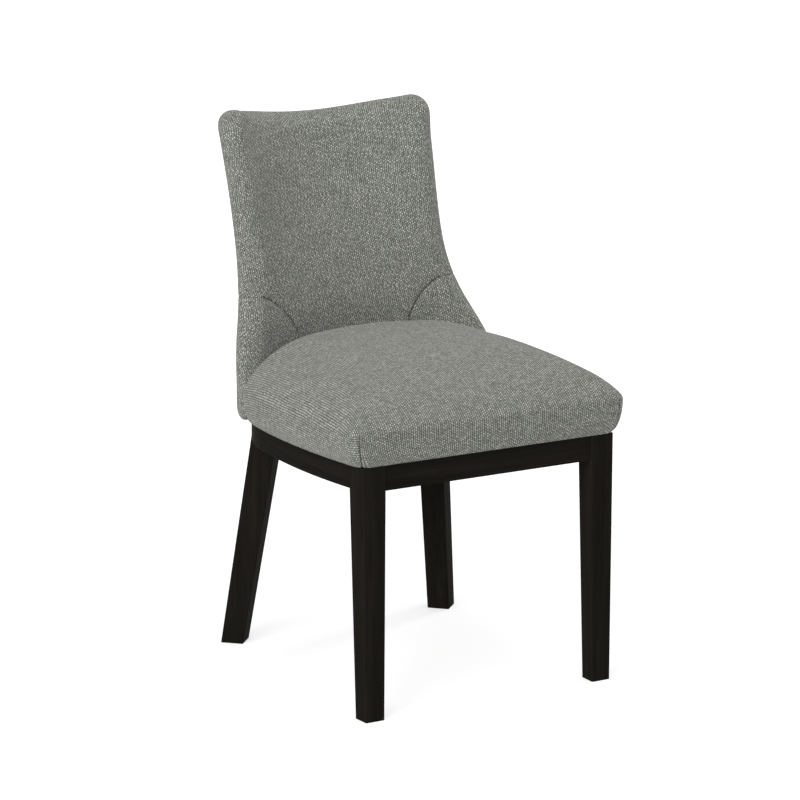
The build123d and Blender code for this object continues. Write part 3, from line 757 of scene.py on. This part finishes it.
seat = make_seat()
print("seat faces", len(seat.data.polygons))


# %% Smooth and close the seat
def keep_result(piece):
    """Turns what the modifiers make into the piece's own mesh."""
    evaluated = piece.evaluated_get(bpy.context.evaluated_depsgraph_get())
    mesh = bpy.data.meshes.new_from_object(evaluated)
    piece.modifiers.clear()
    piece.data = mesh


def smooth_once(piece, thickness=0.0):
    """One subdivision and, where asked for, a thickness inwards, turned into plain mesh."""
    smooth = piece.modifiers.new("smooth", "SUBSURF")
    smooth.levels = smooth.render_levels = 1
    if thickness:
        wadding = piece.modifiers.new("wadding", "SOLIDIFY")
        wadding.thickness = thickness
        wadding.offset = -1.0
    keep_result(piece)


def close_openings(piece):
    """Fills the small ring at the crest and the hidden one on the board, each with one flat face."""
    bm = bmesh.new()
    bm.from_mesh(piece.data)
    flat = bm.loops.layers.uv["weave"]
    made = bmesh.ops.holes_fill(bm, edges=[e for e in bm.edges if e.is_boundary], sides=0)["faces"]
    for face in made:
        face.smooth = True
        for loop in face.loops:
            loop[flat].uv = loop.vert.co.xy * SEAT_STRETCH
    bmesh.ops.recalc_face_normals(bm, faces=bm.faces)
    bm.to_mesh(piece.data)
    bm.free()
    return len(made)


smooth_once(seat)
print("openings closed", close_openings(seat))
wear(seat, seat_cloth)
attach(seat, "root")
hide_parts("seat_cover", "seat_foam")
print("smoothed seat faces", len(seat.data.polygons))

# %% [markdown]
# ## The back
# The back is a barrel that flares towards the top, with its edges swept forward into wings low down.
# Seen from above, the rear is one arc and the inside is another, flatter one, thick at the lumbar and
# thin at the edges. A place on it is named by its height and by its share of the half width, from -1 at
# the left to 1 at the right, because with these two numbers every edge and seam is a short formula.

# %% Sizes of the back
LOW_RADIUS, TOP_RADIUS, FLARE_START, FLARE_POWER = 0.2663, 0.331, 0.572, 1.39
BACK_TOP, TOP_ANGLE, EDGE_LEAN = 0.910, math.radians(36.6), math.radians(27.0)
WING_ANGLE, WING_HEIGHT, WING_SOFTNESS = math.radians(23.9), 0.543, 0.0420
EDGE_THICKNESS, ROLL = 0.044, 0.0185
TOP_THICKNESS, LUMBAR_DEPTH = 0.047, 0.077
RIDGE_LOW, RIDGE_RISE, RIDGE_EASE, RIDGE_REACH = 0.8907, 0.0297, 0.0093, 0.180
TOP_CORNER = 0.0135
BOTTOM_ROUND, TIP_ROUND = 0.008, 0.014


def back_radius(z):
    """Radius of the outside, which flares above the seat."""
    rise = np.maximum(0.0, (z - FLARE_START) / (BACK_TOP - FLARE_START))
    return LOW_RADIUS + (TOP_RADIUS - LOW_RADIUS) * rise**FLARE_POWER


def back_angle(z):
    """Half the angle that the back spans, wider in the wings."""
    sweep = WING_ANGLE / (1 + np.exp((z - WING_HEIGHT) / WING_SOFTNESS))
    return TOP_ANGLE + EDGE_LEAN * (BACK_TOP - z) + sweep


def back_depth(z):
    """Thickness in the middle, greatest low down."""
    rise = (z - FRAME_TOP) / (BACK_TOP - FRAME_TOP)
    return TOP_THICKNESS + LUMBAR_DEPTH * (1 + np.cos(np.pi * rise)) / 2


def rounding(z, radius):
    """0 at the bottom edge, 1 from one radius above it: a quarter circle."""
    drop = np.clip(1 - (z - FRAME_TOP) / radius, 0, 1)
    return np.sqrt(1 - drop**2)


print("half angle at the bottom", round(math.degrees(back_angle(FRAME_TOP)), 1))


# %% Faces of the back
def around_axis(radius, turn, z, centre=0.0):
    """Points of arcs in plan. The centre is measured from the upright axis of the back."""
    x, y = radius * np.sin(turn), AXIS_Y + centre + radius * np.cos(turn)
    return np.stack([x, y, z], axis=-1)


def inside_arc(z, inset):
    """Centre, radius and half angle of the inside arc, which passes the two edges and the middle."""
    end = back_radius(z) - EDGE_THICKNESS + inset
    middle = back_radius(z) - back_depth(z) + inset
    end_y = end * np.cos(back_angle(z))
    centre = (end**2 - middle**2) / (2 * (end_y - middle))
    return centre, middle - centre, np.arctan2(end * np.sin(back_angle(z)), end_y - centre)


def inside_face(share, z, inset):
    """Points of the inside, at shares of the half width."""
    centre, bend, half = inside_arc(z, inset)
    return around_axis(bend, share * half, z, centre)


def outside_face(share, z, inset):
    """Points of the outside, drawn in at its bottom edge."""
    radius = back_radius(z) - inset - BOTTOM_ROUND * (1 - rounding(z, BOTTOM_ROUND))
    return around_axis(radius, share * back_angle(z), z)


def roof(share, z):
    """Height where the round top edge begins, lower at the round corners, and the edge's turn there."""
    radius, angle = back_radius(z) - EDGE_THICKNESS / 2, back_angle(z)
    reach = (radius * np.sin(share * angle) / RIDGE_REACH) ** 2
    ridge = RIDGE_LOW + RIDGE_RISE * reach - RIDGE_EASE * reach**2
    turn = np.arccos(np.clip(1 - (1 - np.abs(share)) * angle * radius / TOP_CORNER, 0, 1))
    return ridge - ROLL - TOP_CORNER * (1 - np.sin(turn)), turn


print("inside edge at the top", np.round(inside_face(1.0, BACK_TOP, 0.0), 3))

# %% [markdown]
# The covers of the back meet in seams. Each wing's seam climbs from the seat, bends outwards and runs
# over the rolled edge. The outside panel is sewn on just behind the roll. One grid serves the inside and
# the outside, and its rows and columns bend so that every seam follows one of them. Close rows and
# columns beside a seam keep its valley crisp. Columns count through five zones, from 0 at the left edge
# to 5 at the right, and rows through three, from 0 at the frame to 3 at the top.

# %% Rows and columns
PANEL_MARGIN = 0.024
CORNER_COLUMNS, EDGE_COLUMNS = 7, (0.75, 0.92, 1.0)
WING_COLUMNS, WING_GUARD = 18, 0.015
PANEL_COLUMNS, PANEL_GUARD, MIDDLE = 26, 0.009, 2.5
WING_ROWS, WING_FOOT_GUARD, WING_SEAM_GUARD, ROW_CROWDING = 24, 0.012, 0.013, 1.3
BACK_ROWS, BACK_GUARD = 50, 0.006
TOP_ROWS, TOP_GUARD = 3, 0.17


def guarded(count, first, last):
    """Even shares from 0 to 1, with one more close to each end."""
    return np.unique(np.concatenate([np.linspace(0, 1, count + 1), [first, 1 - last]]))


corner_turns = np.linspace(0, np.pi / 2, CORNER_COLUMNS)
corner_shares = TOP_CORNER / PANEL_MARGIN * (1 - np.cos(corner_turns))
edge_columns = np.concatenate([corner_shares, EDGE_COLUMNS])
wing_columns = 1 + guarded(WING_COLUMNS, WING_GUARD, WING_GUARD)[1:]
panel_columns = 2 + guarded(PANEL_COLUMNS, PANEL_GUARD, PANEL_GUARD)[1:-1]
half_columns = np.concatenate([edge_columns, wing_columns, panel_columns])
half_columns = half_columns[half_columns < MIDDLE]
columns = np.concatenate([half_columns, [MIDDLE], 2 * MIDDLE - half_columns[::-1]])
wing_rows = guarded(WING_ROWS, WING_FOOT_GUARD, WING_SEAM_GUARD) ** ROW_CROWDING
back_rows = 1 + guarded(BACK_ROWS, BACK_GUARD, BACK_GUARD)[1:]
top_rows = 2 + guarded(TOP_ROWS, TOP_GUARD, TOP_GUARD)[1:]
rows = np.concatenate([wing_rows, back_rows, top_rows])
seam_row, panel_row = (int(np.argmin(np.abs(rows - zone))) for zone in (1, 2))
zone_columns = [int(np.argmin(np.abs(columns - zone))) for zone in (1, 2, 3, 4)]
panel_left, seam_left, seam_right, panel_right = zone_columns
last_row, last_column = len(rows) - 1, len(columns) - 1
print("rows", len(rows), "columns", len(columns))

# %% Grid of the back
PANEL_DROP = 0.0115
SEAM_FOOT_X, SEAM_SEAT_X, SEAM_SEAT_Z = 0.092, 0.109, 0.545
SEAM_BEND, SEAM_CORNER, SEAM_STEPS = (0.143, 0.590), (0.184, 0.614), 40
BACK_SWELL = 0.0008
FIRST_HEIGHTS = (FRAME_TOP, 0.58, 0.86, 0.87)
SETTLE_ROUNDS = 12
seam_ends = (SEAM_SEAT_X, SEAM_SEAT_Z), SEAM_BEND, SEAM_CORNER
wing_seam = arc_through(*seam_ends, np.linspace(0, 1, SEAM_STEPS))


def column_share(z):
    """Share of the half width of every column, at the heights z."""
    _, bend, half = inside_arc(z, BACK_SWELL)
    climb = np.clip((z - FRAME_TOP) / (SEAM_SEAT_Z - FRAME_TOP), 0, 1)
    seam = np.arcsin((SEAM_FOOT_X + (SEAM_SEAT_X - SEAM_FOOT_X) * climb) / bend) / half
    panel = 1 - PANEL_MARGIN / (back_radius(z) * back_angle(z))
    one = np.ones_like(z)
    marks = np.stack([-one, -panel, -seam, seam, panel, one])
    zone = np.minimum(columns.astype(int), 4)
    each = np.arange(len(columns))
    low, high = marks[zone, :, each].T, marks[zone + 1, :, each].T
    return low + (high - low) * (columns - zone)


def back_grid():
    """Shares and heights of the grid, found by letting rows and columns settle together."""
    z = np.tile(np.interp(rows, range(4), FIRST_HEIGHTS)[:, None], (1, len(columns)))
    zone = np.minimum(rows.astype(int), 2)
    for _ in range(SETTLE_ROUNDS):
        share = column_share(z)
        side_x = np.abs(inside_face(share, z, BACK_SWELL)[seam_row, :, 0])
        seam = np.interp(side_x, wing_seam[:, 0], wing_seam[:, 1])
        top = roof(share[-1], z[-1])[0]
        marks = np.stack([np.full_like(top, FRAME_TOP), seam, top - PANEL_DROP, top])
        z = marks[zone] + (marks[zone + 1] - marks[zone]) * (rows - zone)[:, None]
    return column_share(z), z


share, height = back_grid()
print("back grid", share.shape, "seam on the roll at", round(float(height[seam_row, 0]), 3))

# %% [markdown]
# The rolled edge joins inside and outside with a half ellipse, carried along both sides and over the
# top. Foam leaves no crease where the roll begins, so the points near that line are evened out, along
# the rows at the sides and along the columns at the top. At the round top corners the two would pull
# against each other, so towards them the evening fades out.

# %% The rolled edge
ROLL_STEPS = 16
TINY = 1e-9
route = [(i, 0) for i in range(last_row)] + [(last_row, j) for j in range(last_column)]
route_row, route_column = np.array(route + [(i, last_column) for i in range(last_row, -1, -1)]).T
route_way = np.sign(share[route_row, route_column] + TINY)
route_height = height[route_row, route_column]
edge_turn = roof(share[route_row, route_column], route_height)[1]
route_turn = np.where(route_row == last_row, edge_turn, 0.0)


def roll_form(inside, outside):
    """Points of the roll, along the left side, the top and the right side."""
    first, last = inside[route_row, route_column], outside[route_row, route_column]
    middle, half = (first + last) / 2, (first - last) / 2
    angle = back_angle(route_height)
    sideways = np.stack([route_way * np.cos(angle), -np.sin(angle), np.zeros_like(angle)], axis=-1)
    thick = half / np.linalg.norm(half, axis=1, keepdims=True)
    upwards = np.array((0, 0, 1.0)) - thick * thick[:, 2:]
    outwards = sideways * np.cos(route_turn)[:, None] + upwards * np.sin(route_turn)[:, None]
    bulge = (ROLL - BACK_SWELL) * rounding(route_height, TIP_ROUND)
    psi = np.linspace(0, np.pi, ROLL_STEPS + 1)[:, None, None]
    return middle + half * np.cos(psi) + outwards * bulge[:, None] * np.sin(psi)


print("route round the back", len(route_row), "points")

# %% Ease the edge
EASE_REACH, EASE_ROUNDS = 0.040, 90


def ease_edge(roll, strip, strength):
    """Evens out lines of points from the roll on to the inside. Both are views, changed in place."""
    line = np.concatenate([roll[:0:-1], strip])
    travel = down_the_rows(line)
    away = np.abs(travel[1:-1] - travel[ROLL_STEPS]) / EASE_REACH
    weight = 0.5 * (strength * np.clip(1 - away, 0, 1))[:, :, None]
    for _ in range(EASE_ROUNDS):
        steps = np.linalg.norm(np.diff(line, axis=0), axis=2, keepdims=True)
        evened = (line[:-2] * steps[1:] + line[2:] * steps[:-1]) / (steps[1:] + steps[:-1])
        line[1:-1] += weight * (evened - line[1:-1])
    roll[1:] = line[:ROLL_STEPS][::-1]
    strip[:] = line[ROLL_STEPS:]
    roll[0] = strip[0]


def back_points():
    """The inside, the roll and the outside, with the inside edge eased on all three sides."""
    inside = inside_face(share, height, BACK_SWELL)
    outside = outside_face(share, height, BACK_SWELL)
    roll = roll_form(inside, outside)
    half_column, half_row = last_column // 2, last_row // 2
    turn_left, turn_right = last_row, last_row + last_column
    from_top = height[-1, 0] - height[:, 0]
    from_side = (1 - np.abs(share[-1])) * back_radius(BACK_TOP) * TOP_ANGLE - TOP_CORNER
    by_row, by_column = (np.clip(away / EASE_REACH, 0, 1) ** 2 for away in (from_top, from_side))
    left, right = inside[:, :half_column], inside[:, ::-1][:, :half_column]
    ease_edge(roll[:, :turn_left + 1], left.swapaxes(0, 1), by_row)
    ease_edge(roll[:, turn_right:][:, ::-1], right.swapaxes(0, 1), by_row)
    ease_edge(roll[:, turn_left:turn_right + 1], inside[::-1][:half_row], by_column)
    roll[0] = inside[route_row, route_column]
    return inside, roll, outside


inside, roll, outside = back_points()
print("roll points", roll.shape[:2])

# %% [markdown]
# Each panel keeps its own flat cloth: the wings and the inside go on over the roll, and the outside
# panel is cut separately. Underneath, the covers turn in over the frame.

# %% Inside of the back
INSIDE, LEFT_WING, RIGHT_WING, OUTSIDE = range(4)
BACK_SEAM_DEPTH, PIN_HEIGHT = 0.0017, 0.004
HEM_RADIUS, HEM_TURN = 0.2190, 0.001
cells = (columns[1:] + columns[:-1]) / 2
low_panels = np.where(cells < 2, LEFT_WING, np.where(cells > 3, RIGHT_WING, INSIDE))


def seam_marks(*runs):
    """1 at points of the grid that lie on a seam. A run is a row and a column, one of them a slice."""
    marks = np.zeros(height.shape)
    for run in runs:
        marks[run] = 1.0
    return marks


def pinned(seams, z):
    """How firmly points are held: at the seams as given, and all along the bottom."""
    return np.maximum(seams, (z < FRAME_TOP + PIN_HEIGHT) * 1.0)


def add_inside(cover):
    """Adds the inside with its hem, and returns its places on the flat cloth."""
    travel = down_the_rows(inside[:, :, :2].swapaxes(0, 1)).T
    flat = np.stack([travel - travel[:, [last_column // 2]], inside[:, :, 2]], axis=-1)
    panels = np.full((last_row, last_column), INSIDE)
    panels[:seam_row] = low_panels
    below = slice(0, seam_row + 1)
    seams = seam_marks(
        (seam_row, slice(0, seam_left + 1)),
        (seam_row, slice(seam_right, None)),
        (below, seam_left),
        (below, seam_right),
    )
    cover.grid(inside, flat, panels, seams * BACK_SEAM_DEPTH, pinned(seams, height))
    hem = inside[0].copy()
    spread = hem[:, :2] - (0, AXIS_Y)
    reach = np.linalg.norm(spread, axis=1, keepdims=True)
    hem[:, :2] = (0, AXIS_Y) + spread / reach * np.maximum(HEM_RADIUS, reach + HEM_TURN)
    strip = np.stack([inside[0], hem])
    cover.grid(strip, strip[:, :, :2], low_panels, held=1.0)
    return flat


back_cover = Cover()
inside_flat = add_inside(back_cover)
print("flat width at the top", round(float(np.ptp(inside_flat[-1, :, 0])), 3))

# %% Roll of the back
ROLL_SEAM_DEPTH, ROLL_SEAM_HOLD = 0.0009, 0.3


def add_roll(cover, flat):
    """Adds the roll, and returns its length on the flat cloth."""
    travel = down_the_rows(roll)
    ways = np.stack([route_way * np.cos(route_turn), np.sin(route_turn)], axis=-1)
    low = route_row < seam_row
    panels = np.where(low[:-1] & (route_column[:-1] == 0), LEFT_WING, INSIDE)
    panels = np.where(low[1:] & (route_column[1:] == last_column), RIGHT_WING, panels)
    seams = np.tile((route_row == seam_row) * 1.0, (ROLL_STEPS + 1, 1))
    flat = flat[route_row, route_column] + travel[:, :, None] * ways
    panels = np.tile(panels, (ROLL_STEPS, 1))
    held = pinned(seams * ROLL_SEAM_HOLD, route_height)
    cover.grid(roll, flat, panels, seams * ROLL_SEAM_DEPTH, held)
    return travel[-1].max()


roll_length = add_roll(back_cover, inside_flat)
print("flat length of the roll", round(float(roll_length), 3))

# %% Outside of the back
STRIP_RADIUS = 0.2432


def add_outside(cover, inside_flat, roll_length):
    """Adds the panel at the rear, and what the inside and the wings cover behind the roll."""
    arc = back_radius(height) * back_angle(height)
    below = slice(0, panel_row + 1)
    left, right = slice(0, panel_left + 1), slice(panel_right, None)
    middle = slice(panel_left, panel_right + 1)
    seams = seam_marks(
        (seam_row, left),
        (seam_row, right),
        (panel_row, middle),
        (below, panel_left),
        (below, panel_right),
    )
    held = pinned(seams, height)
    past = np.abs(inside_flat[:, [0], 0]) + roll_length + (1 - np.abs(share)) * arc
    side_flat = np.stack([np.sign(share) * past, height], axis=-1)
    top_flat = np.stack([inside_flat[:, :, 0], 2 * height[-1] - height + roll_length], axis=-1)
    panel_flat = np.stack([share * arc, height], axis=-1)
    lower, upper, crown = slice(0, seam_row + 1), slice(seam_row, None), slice(panel_row, None)
    pieces = (
        (below, middle, panel_flat, OUTSIDE),
        (crown, middle, top_flat, INSIDE),
        (lower, left, side_flat, LEFT_WING),
        (upper, left, side_flat, INSIDE),
        (lower, right, side_flat, RIGHT_WING),
        (upper, right, side_flat, INSIDE),
    )
    for i, j, flat, panel in pieces:
        cover.grid(outside[i, j], flat[i, j], panel, seams[i, j] * BACK_SEAM_DEPTH, held[i, j])
    turn = (share * back_angle(height))[0]
    strip = np.stack([outside[0], around_axis(STRIP_RADIUS, turn, height[0])])
    for j, panel in ((left, LEFT_WING), (middle, OUTSIDE), (right, RIGHT_WING)):
        cover.grid(strip[:, j], strip[:, j, :2], panel, held=1.0)


add_outside(back_cover, inside_flat, roll_length)
print("faces laid out", len(back_cover.bm.faces))

# %% Fill the back
BACK_PUFF = 0.0030
back = filled(back_cover, "back", BACK_PUFF)
print("back faces", len(back.data.polygons))

# %% [markdown]
# The filled back is cut apart along its seams. Each panel is smoothed and gets the thickness of cloth
# and wadding.

# %% Cut the panels apart
WADDING = 0.002
BACK_PANELS = {
    INSIDE: ("inside_back", ("inside_back_cover", "inside_back_foam")),
    LEFT_WING: ("left_wing", ("left_wing_cover",)),
    RIGHT_WING: ("right_wing", ("right_wing_cover",)),
    OUTSIDE: ("outside_back", ("outside_back_cover", "outside_back_foam")),
}


def cut_panel(source, number, name):
    """A new piece with only the faces of one panel."""
    bm = bmesh.new()
    bm.from_mesh(source.data)
    layer = bm.faces.layers.int["panel"]
    bmesh.ops.delete(bm, geom=[f for f in bm.faces if f[layer] != number], context="FACES")
    mesh = bpy.data.meshes.new(name)
    bm.to_mesh(mesh)
    bm.free()
    return new_object(name, mesh)


for number, (name, covered) in BACK_PANELS.items():
    piece = cut_panel(back, number, name)
    smooth_once(piece, WADDING)
    wear(piece, back_cloth)
    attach(piece, "root")
    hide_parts(*covered)
    print(name, "faces", len(piece.data.polygons))
bpy.data.objects.remove(back)

# %% [markdown]
# ## Under the seat
# A thin black cloth closes the underside of the board, inside the hem of the cover. It is drawn flat and
# only bellies a little between its edges. The hem is held by rows of staples, which are one short wire,
# repeated along a path: Geometry Nodes places them, at a spacing that can be changed in one place.

# %% Dust cloth
DUST_GAP = 0.0003
DUST_INSET, DUST_HEIGHT, DUST_BELLY = HEM_WIDTH + DUST_GAP, 0.4215, 0.0006
DUST_RINGS, DUST_CENTRE, DUST_FLATNESS = 12, 0.02, 4
DUST_DOT_HEIGHT = 0.0003
DUST_TONES = ((0.008, 0.008, 0.009, 1.0), (0.030, 0.030, 0.032, 1.0))


def dust_finish():
    """Thin black cloth of bonded fibres."""
    cloth = Finish("dust_cloth")
    felt = cloth.noise(cloth.place(1.0, 1.0, 1.0), 900.0, 3.0, 0.7)
    dot_inputs = {"Vector": cloth.place(1.0, 1.0, 1.0), "Scale": 420.0}
    dots = cloth.node("ShaderNodeTexVoronoi", inputs=dot_inputs)
    cloth.set(base_color=cloth.mix(felt, *DUST_TONES))
    cloth.set(roughness=0.75 + 0.2 * felt, normal=cloth.bump(dots + felt * 0.5, DUST_DOT_HEIGHT, 0.5))
    return cloth


def close_ring(cloth):
    """Closes the little ring in the middle, and leaves the outer edge open. The cloth faces down."""
    bm = bmesh.new()
    bm.from_mesh(cloth.data)
    low = DUST_HEIGHT - DUST_BELLY / 2
    inner = [e for e in bm.edges if e.is_boundary and all(v.co.z < low for v in e.verts)]
    made = bmesh.ops.holes_fill(bm, edges=inner, sides=0)["faces"]
    bmesh.ops.recalc_face_normals(bm, faces=bm.faces)
    if sum(f.normal.z * f.calc_area() for f in bm.faces) > 0:
        bmesh.ops.reverse_faces(bm, faces=bm.faces)
    bm.to_mesh(cloth.data)
    bm.free()
    return len(made)


def make_dust_cloth():
    """The cloth, laid out in rings from its edge to the middle, and its flat size."""
    edge = np.vstack([side[:-1] for side in seat_outline(0.0, 1.0, DUST_INSET)])
    edge = np.vstack([edge, edge[:1]])
    middle = edge[:-1].mean(axis=0)
    shares = np.linspace(1.0, DUST_CENTRE, DUST_RINGS)[:, None, None]
    plan = middle + (edge - middle) * shares
    sag = DUST_HEIGHT - DUST_BELLY * (1 - shares[:, :, 0] ** DUST_FLATNESS) * np.ones(len(edge))
    cover = Cover()
    cover.grid(np.dstack([plan, sag]), plan, 0)
    cloth = cover.finish("dust_cloth")
    print("dust cloth openings closed", close_ring(cloth))
    return cloth, np.ptp(edge, axis=0)


dust_cloth, dust_size = make_dust_cloth()
wear(dust_cloth, dust_finish())
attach(dust_cloth, "root")
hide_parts("seat_dust_cover")

# %% Staples along the hem
STAPLE_SIZES = {"Spacing": 0.028, "Length": 0.010, "Wire": 0.0008}
STAPLE_INSET, STAPLE_FRONT_REACH = 0.034, 0.14
STAPLE_SIDE_START, STAPLE_SIDE_END = -0.19, 0.06
CORNERS_OF_A_STAPLE = 8


def staple_nodes(finish):
    """A tree that lays staples along a route."""
    group = bpy.data.node_groups.new("staple_rows", "GeometryNodeTree")
    group.interface.new_socket("Route", in_out="INPUT", socket_type="NodeSocketGeometry")
    for name in STAPLE_SIZES:
        group.interface.new_socket(name, in_out="INPUT", socket_type="NodeSocketFloat")
    group.interface.new_socket("Staples", in_out="OUTPUT", socket_type="NodeSocketGeometry")
    tree = NodeTree(group)
    route = tree.node("NodeGroupInput", output="Route")
    spacing, length, wire = (tree.node("NodeGroupInput", output=name) for name in STAPLE_SIZES)
    path = tree.node("GeometryNodeMeshToCurve", inputs={"Mesh": route})
    steps = {"Curve": path, "Length": spacing}
    spaced = tree.node("GeometryNodeResampleCurve", {"mode": "LENGTH"}, steps)
    size = tree.node("ShaderNodeCombineXYZ", inputs={0: length, 1: wire, 2: wire})
    staple = tree.node("GeometryNodeMeshCube", inputs={"Size": size})
    along = tree.node("GeometryNodeInputTangent")
    turned = tree.node("FunctionNodeAlignRotationToVector", {"axis": "X"}, {"Vector": along})
    copies = {"Points": spaced, "Instance": staple, "Rotation": turned}
    placed = tree.node("GeometryNodeInstanceOnPoints", inputs=copies)
    solid = tree.node("GeometryNodeRealizeInstances", inputs={0: placed})
    steel_look = {"Geometry": solid, "Material": finish.material}
    done = tree.node("GeometryNodeSetMaterial", inputs=steel_look)
    tree.feed(group.nodes.new("NodeGroupOutput").inputs["Staples"], done)
    return group


def make_staples(finish):
    """Staples along the front and both sides of the hem."""
    front, right, _, left = seat_outline(0.0, 1.0, STAPLE_INSET)
    runs = [front[np.abs(front[:, 0]) < STAPLE_FRONT_REACH]]
    for side in (right, left):
        runs.append(side[(side[:, 1] > STAPLE_SIDE_START) & (side[:, 1] < STAPLE_SIDE_END)])
    points = [(x, y, FRAME_TOP) for run in runs for x, y in run]
    ends = set(np.cumsum([len(run) for run in runs]) - 1)
    edges = [(k, k + 1) for k in range(len(points) - 1) if k not in ends]
    mesh = bpy.data.meshes.new("staples")
    mesh.from_pydata(points, edges, [])
    staples = new_object("staples", mesh)
    modifier = staples.modifiers.new("rows", "NODES")
    modifier.node_group = staple_nodes(finish)
    for item in modifier.node_group.interface.items_tree:
        if item.name in STAPLE_SIZES:
            modifier[item.identifier] = STAPLE_SIZES[item.name]
    keep_result(staples)
    return staples


staples = make_staples(steel)
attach(staples, "root")
print("staples", len(staples.data.vertices) // CORNERS_OF_A_STAPLE)

# %% [markdown]
# ## Light and floor
# The photograph is a plain studio picture: a white floor, broad soft light from the upper left, and a
# weaker light from the right that lays faint shadows to the left of the legs. More light would whiten
# the floor, but bleach the cloth, so the floor glows a little, and more so further out. From below it is
# clear, so that the underside can be looked at.

# %% Floor
FLOOR_HALF = 30.0
FLOOR_TONE = (0.40, 0.40, 0.40, 1.0)
GLOW_NEAR, GLOW_MORE, GLOW_START, GLOW_RISE = 0.66, 0.34, 0.8, 0.4
floor_corners = [(x * FLOOR_HALF, y * FLOOR_HALF, 0.0) for x, y in ((-1, -1), (1, -1), (1, 1), (-1, 1))]
floor_mesh = bpy.data.meshes.new("floor")
floor_mesh.from_pydata(floor_corners, [], [(0, 1, 2, 3)])
floor = new_object("floor", floor_mesh)
paper = Finish("white_floor")
paper.set(base_color=FLOOR_TONE, roughness=0.9, specular_ior_level=0.0)
ground = paper.node("ShaderNodeTexCoord", output="Object")
far = paper.node("ShaderNodeVectorMath", {"operation": "LENGTH"}, {0: ground}, output="Value")
glow = GLOW_NEAR + ((far - GLOW_START) * GLOW_RISE).clamped() * GLOW_MORE
paper.set(emission_color=paper.grey(glow), emission_strength=1.0)
below = paper.node("ShaderNodeNewGeometry", output="Backfacing")
clear = paper.node("ShaderNodeBsdfTransparent")
solid = Wire(paper, paper.shader.outputs[0])
seen = paper.node("ShaderNodeMixShader", inputs={0: below, 1: solid, 2: clear})
paper.feed(paper.group.nodes["Material Output"].inputs["Surface"], seen)
wear(floor, paper)
print("floor", 2 * FLOOR_HALF, "across")

# %% World and lamps
WORLD_STRENGTH = 0.55
LAMP_TARGET = Vector((0.0, 0.0, 0.45))
LAMPS = {
    "key_left": ((-3.2, -1.8, 2.6), 2.6, 150.0),
    "top_soft": ((0.2, -0.4, 4.0), 3.0, 65.0),
    "right_edge": ((3.4, 1.0, 2.2), 0.7, 45.0),
}
world = bpy.data.worlds.new("studio")
scene.world = world
world.use_nodes = True
background = world.node_tree.nodes["Background"].inputs
background["Color"].default_value = (1.0, 1.0, 1.0, 1.0)
background["Strength"].default_value = WORLD_STRENGTH
scene.view_settings.view_transform = "Standard"
for name, (place, size, power) in LAMPS.items():
    lamp = new_object(name, bpy.data.lights.new(name, "AREA"))
    lamp.data.size = size
    lamp.data.energy = power
    lamp.location = place
    lamp.rotation_mode = "QUATERNION"
    lamp.rotation_quaternion = (LAMP_TARGET - Vector(place)).to_track_quat("-Z", "Y")
print("lamps", len(LAMPS))
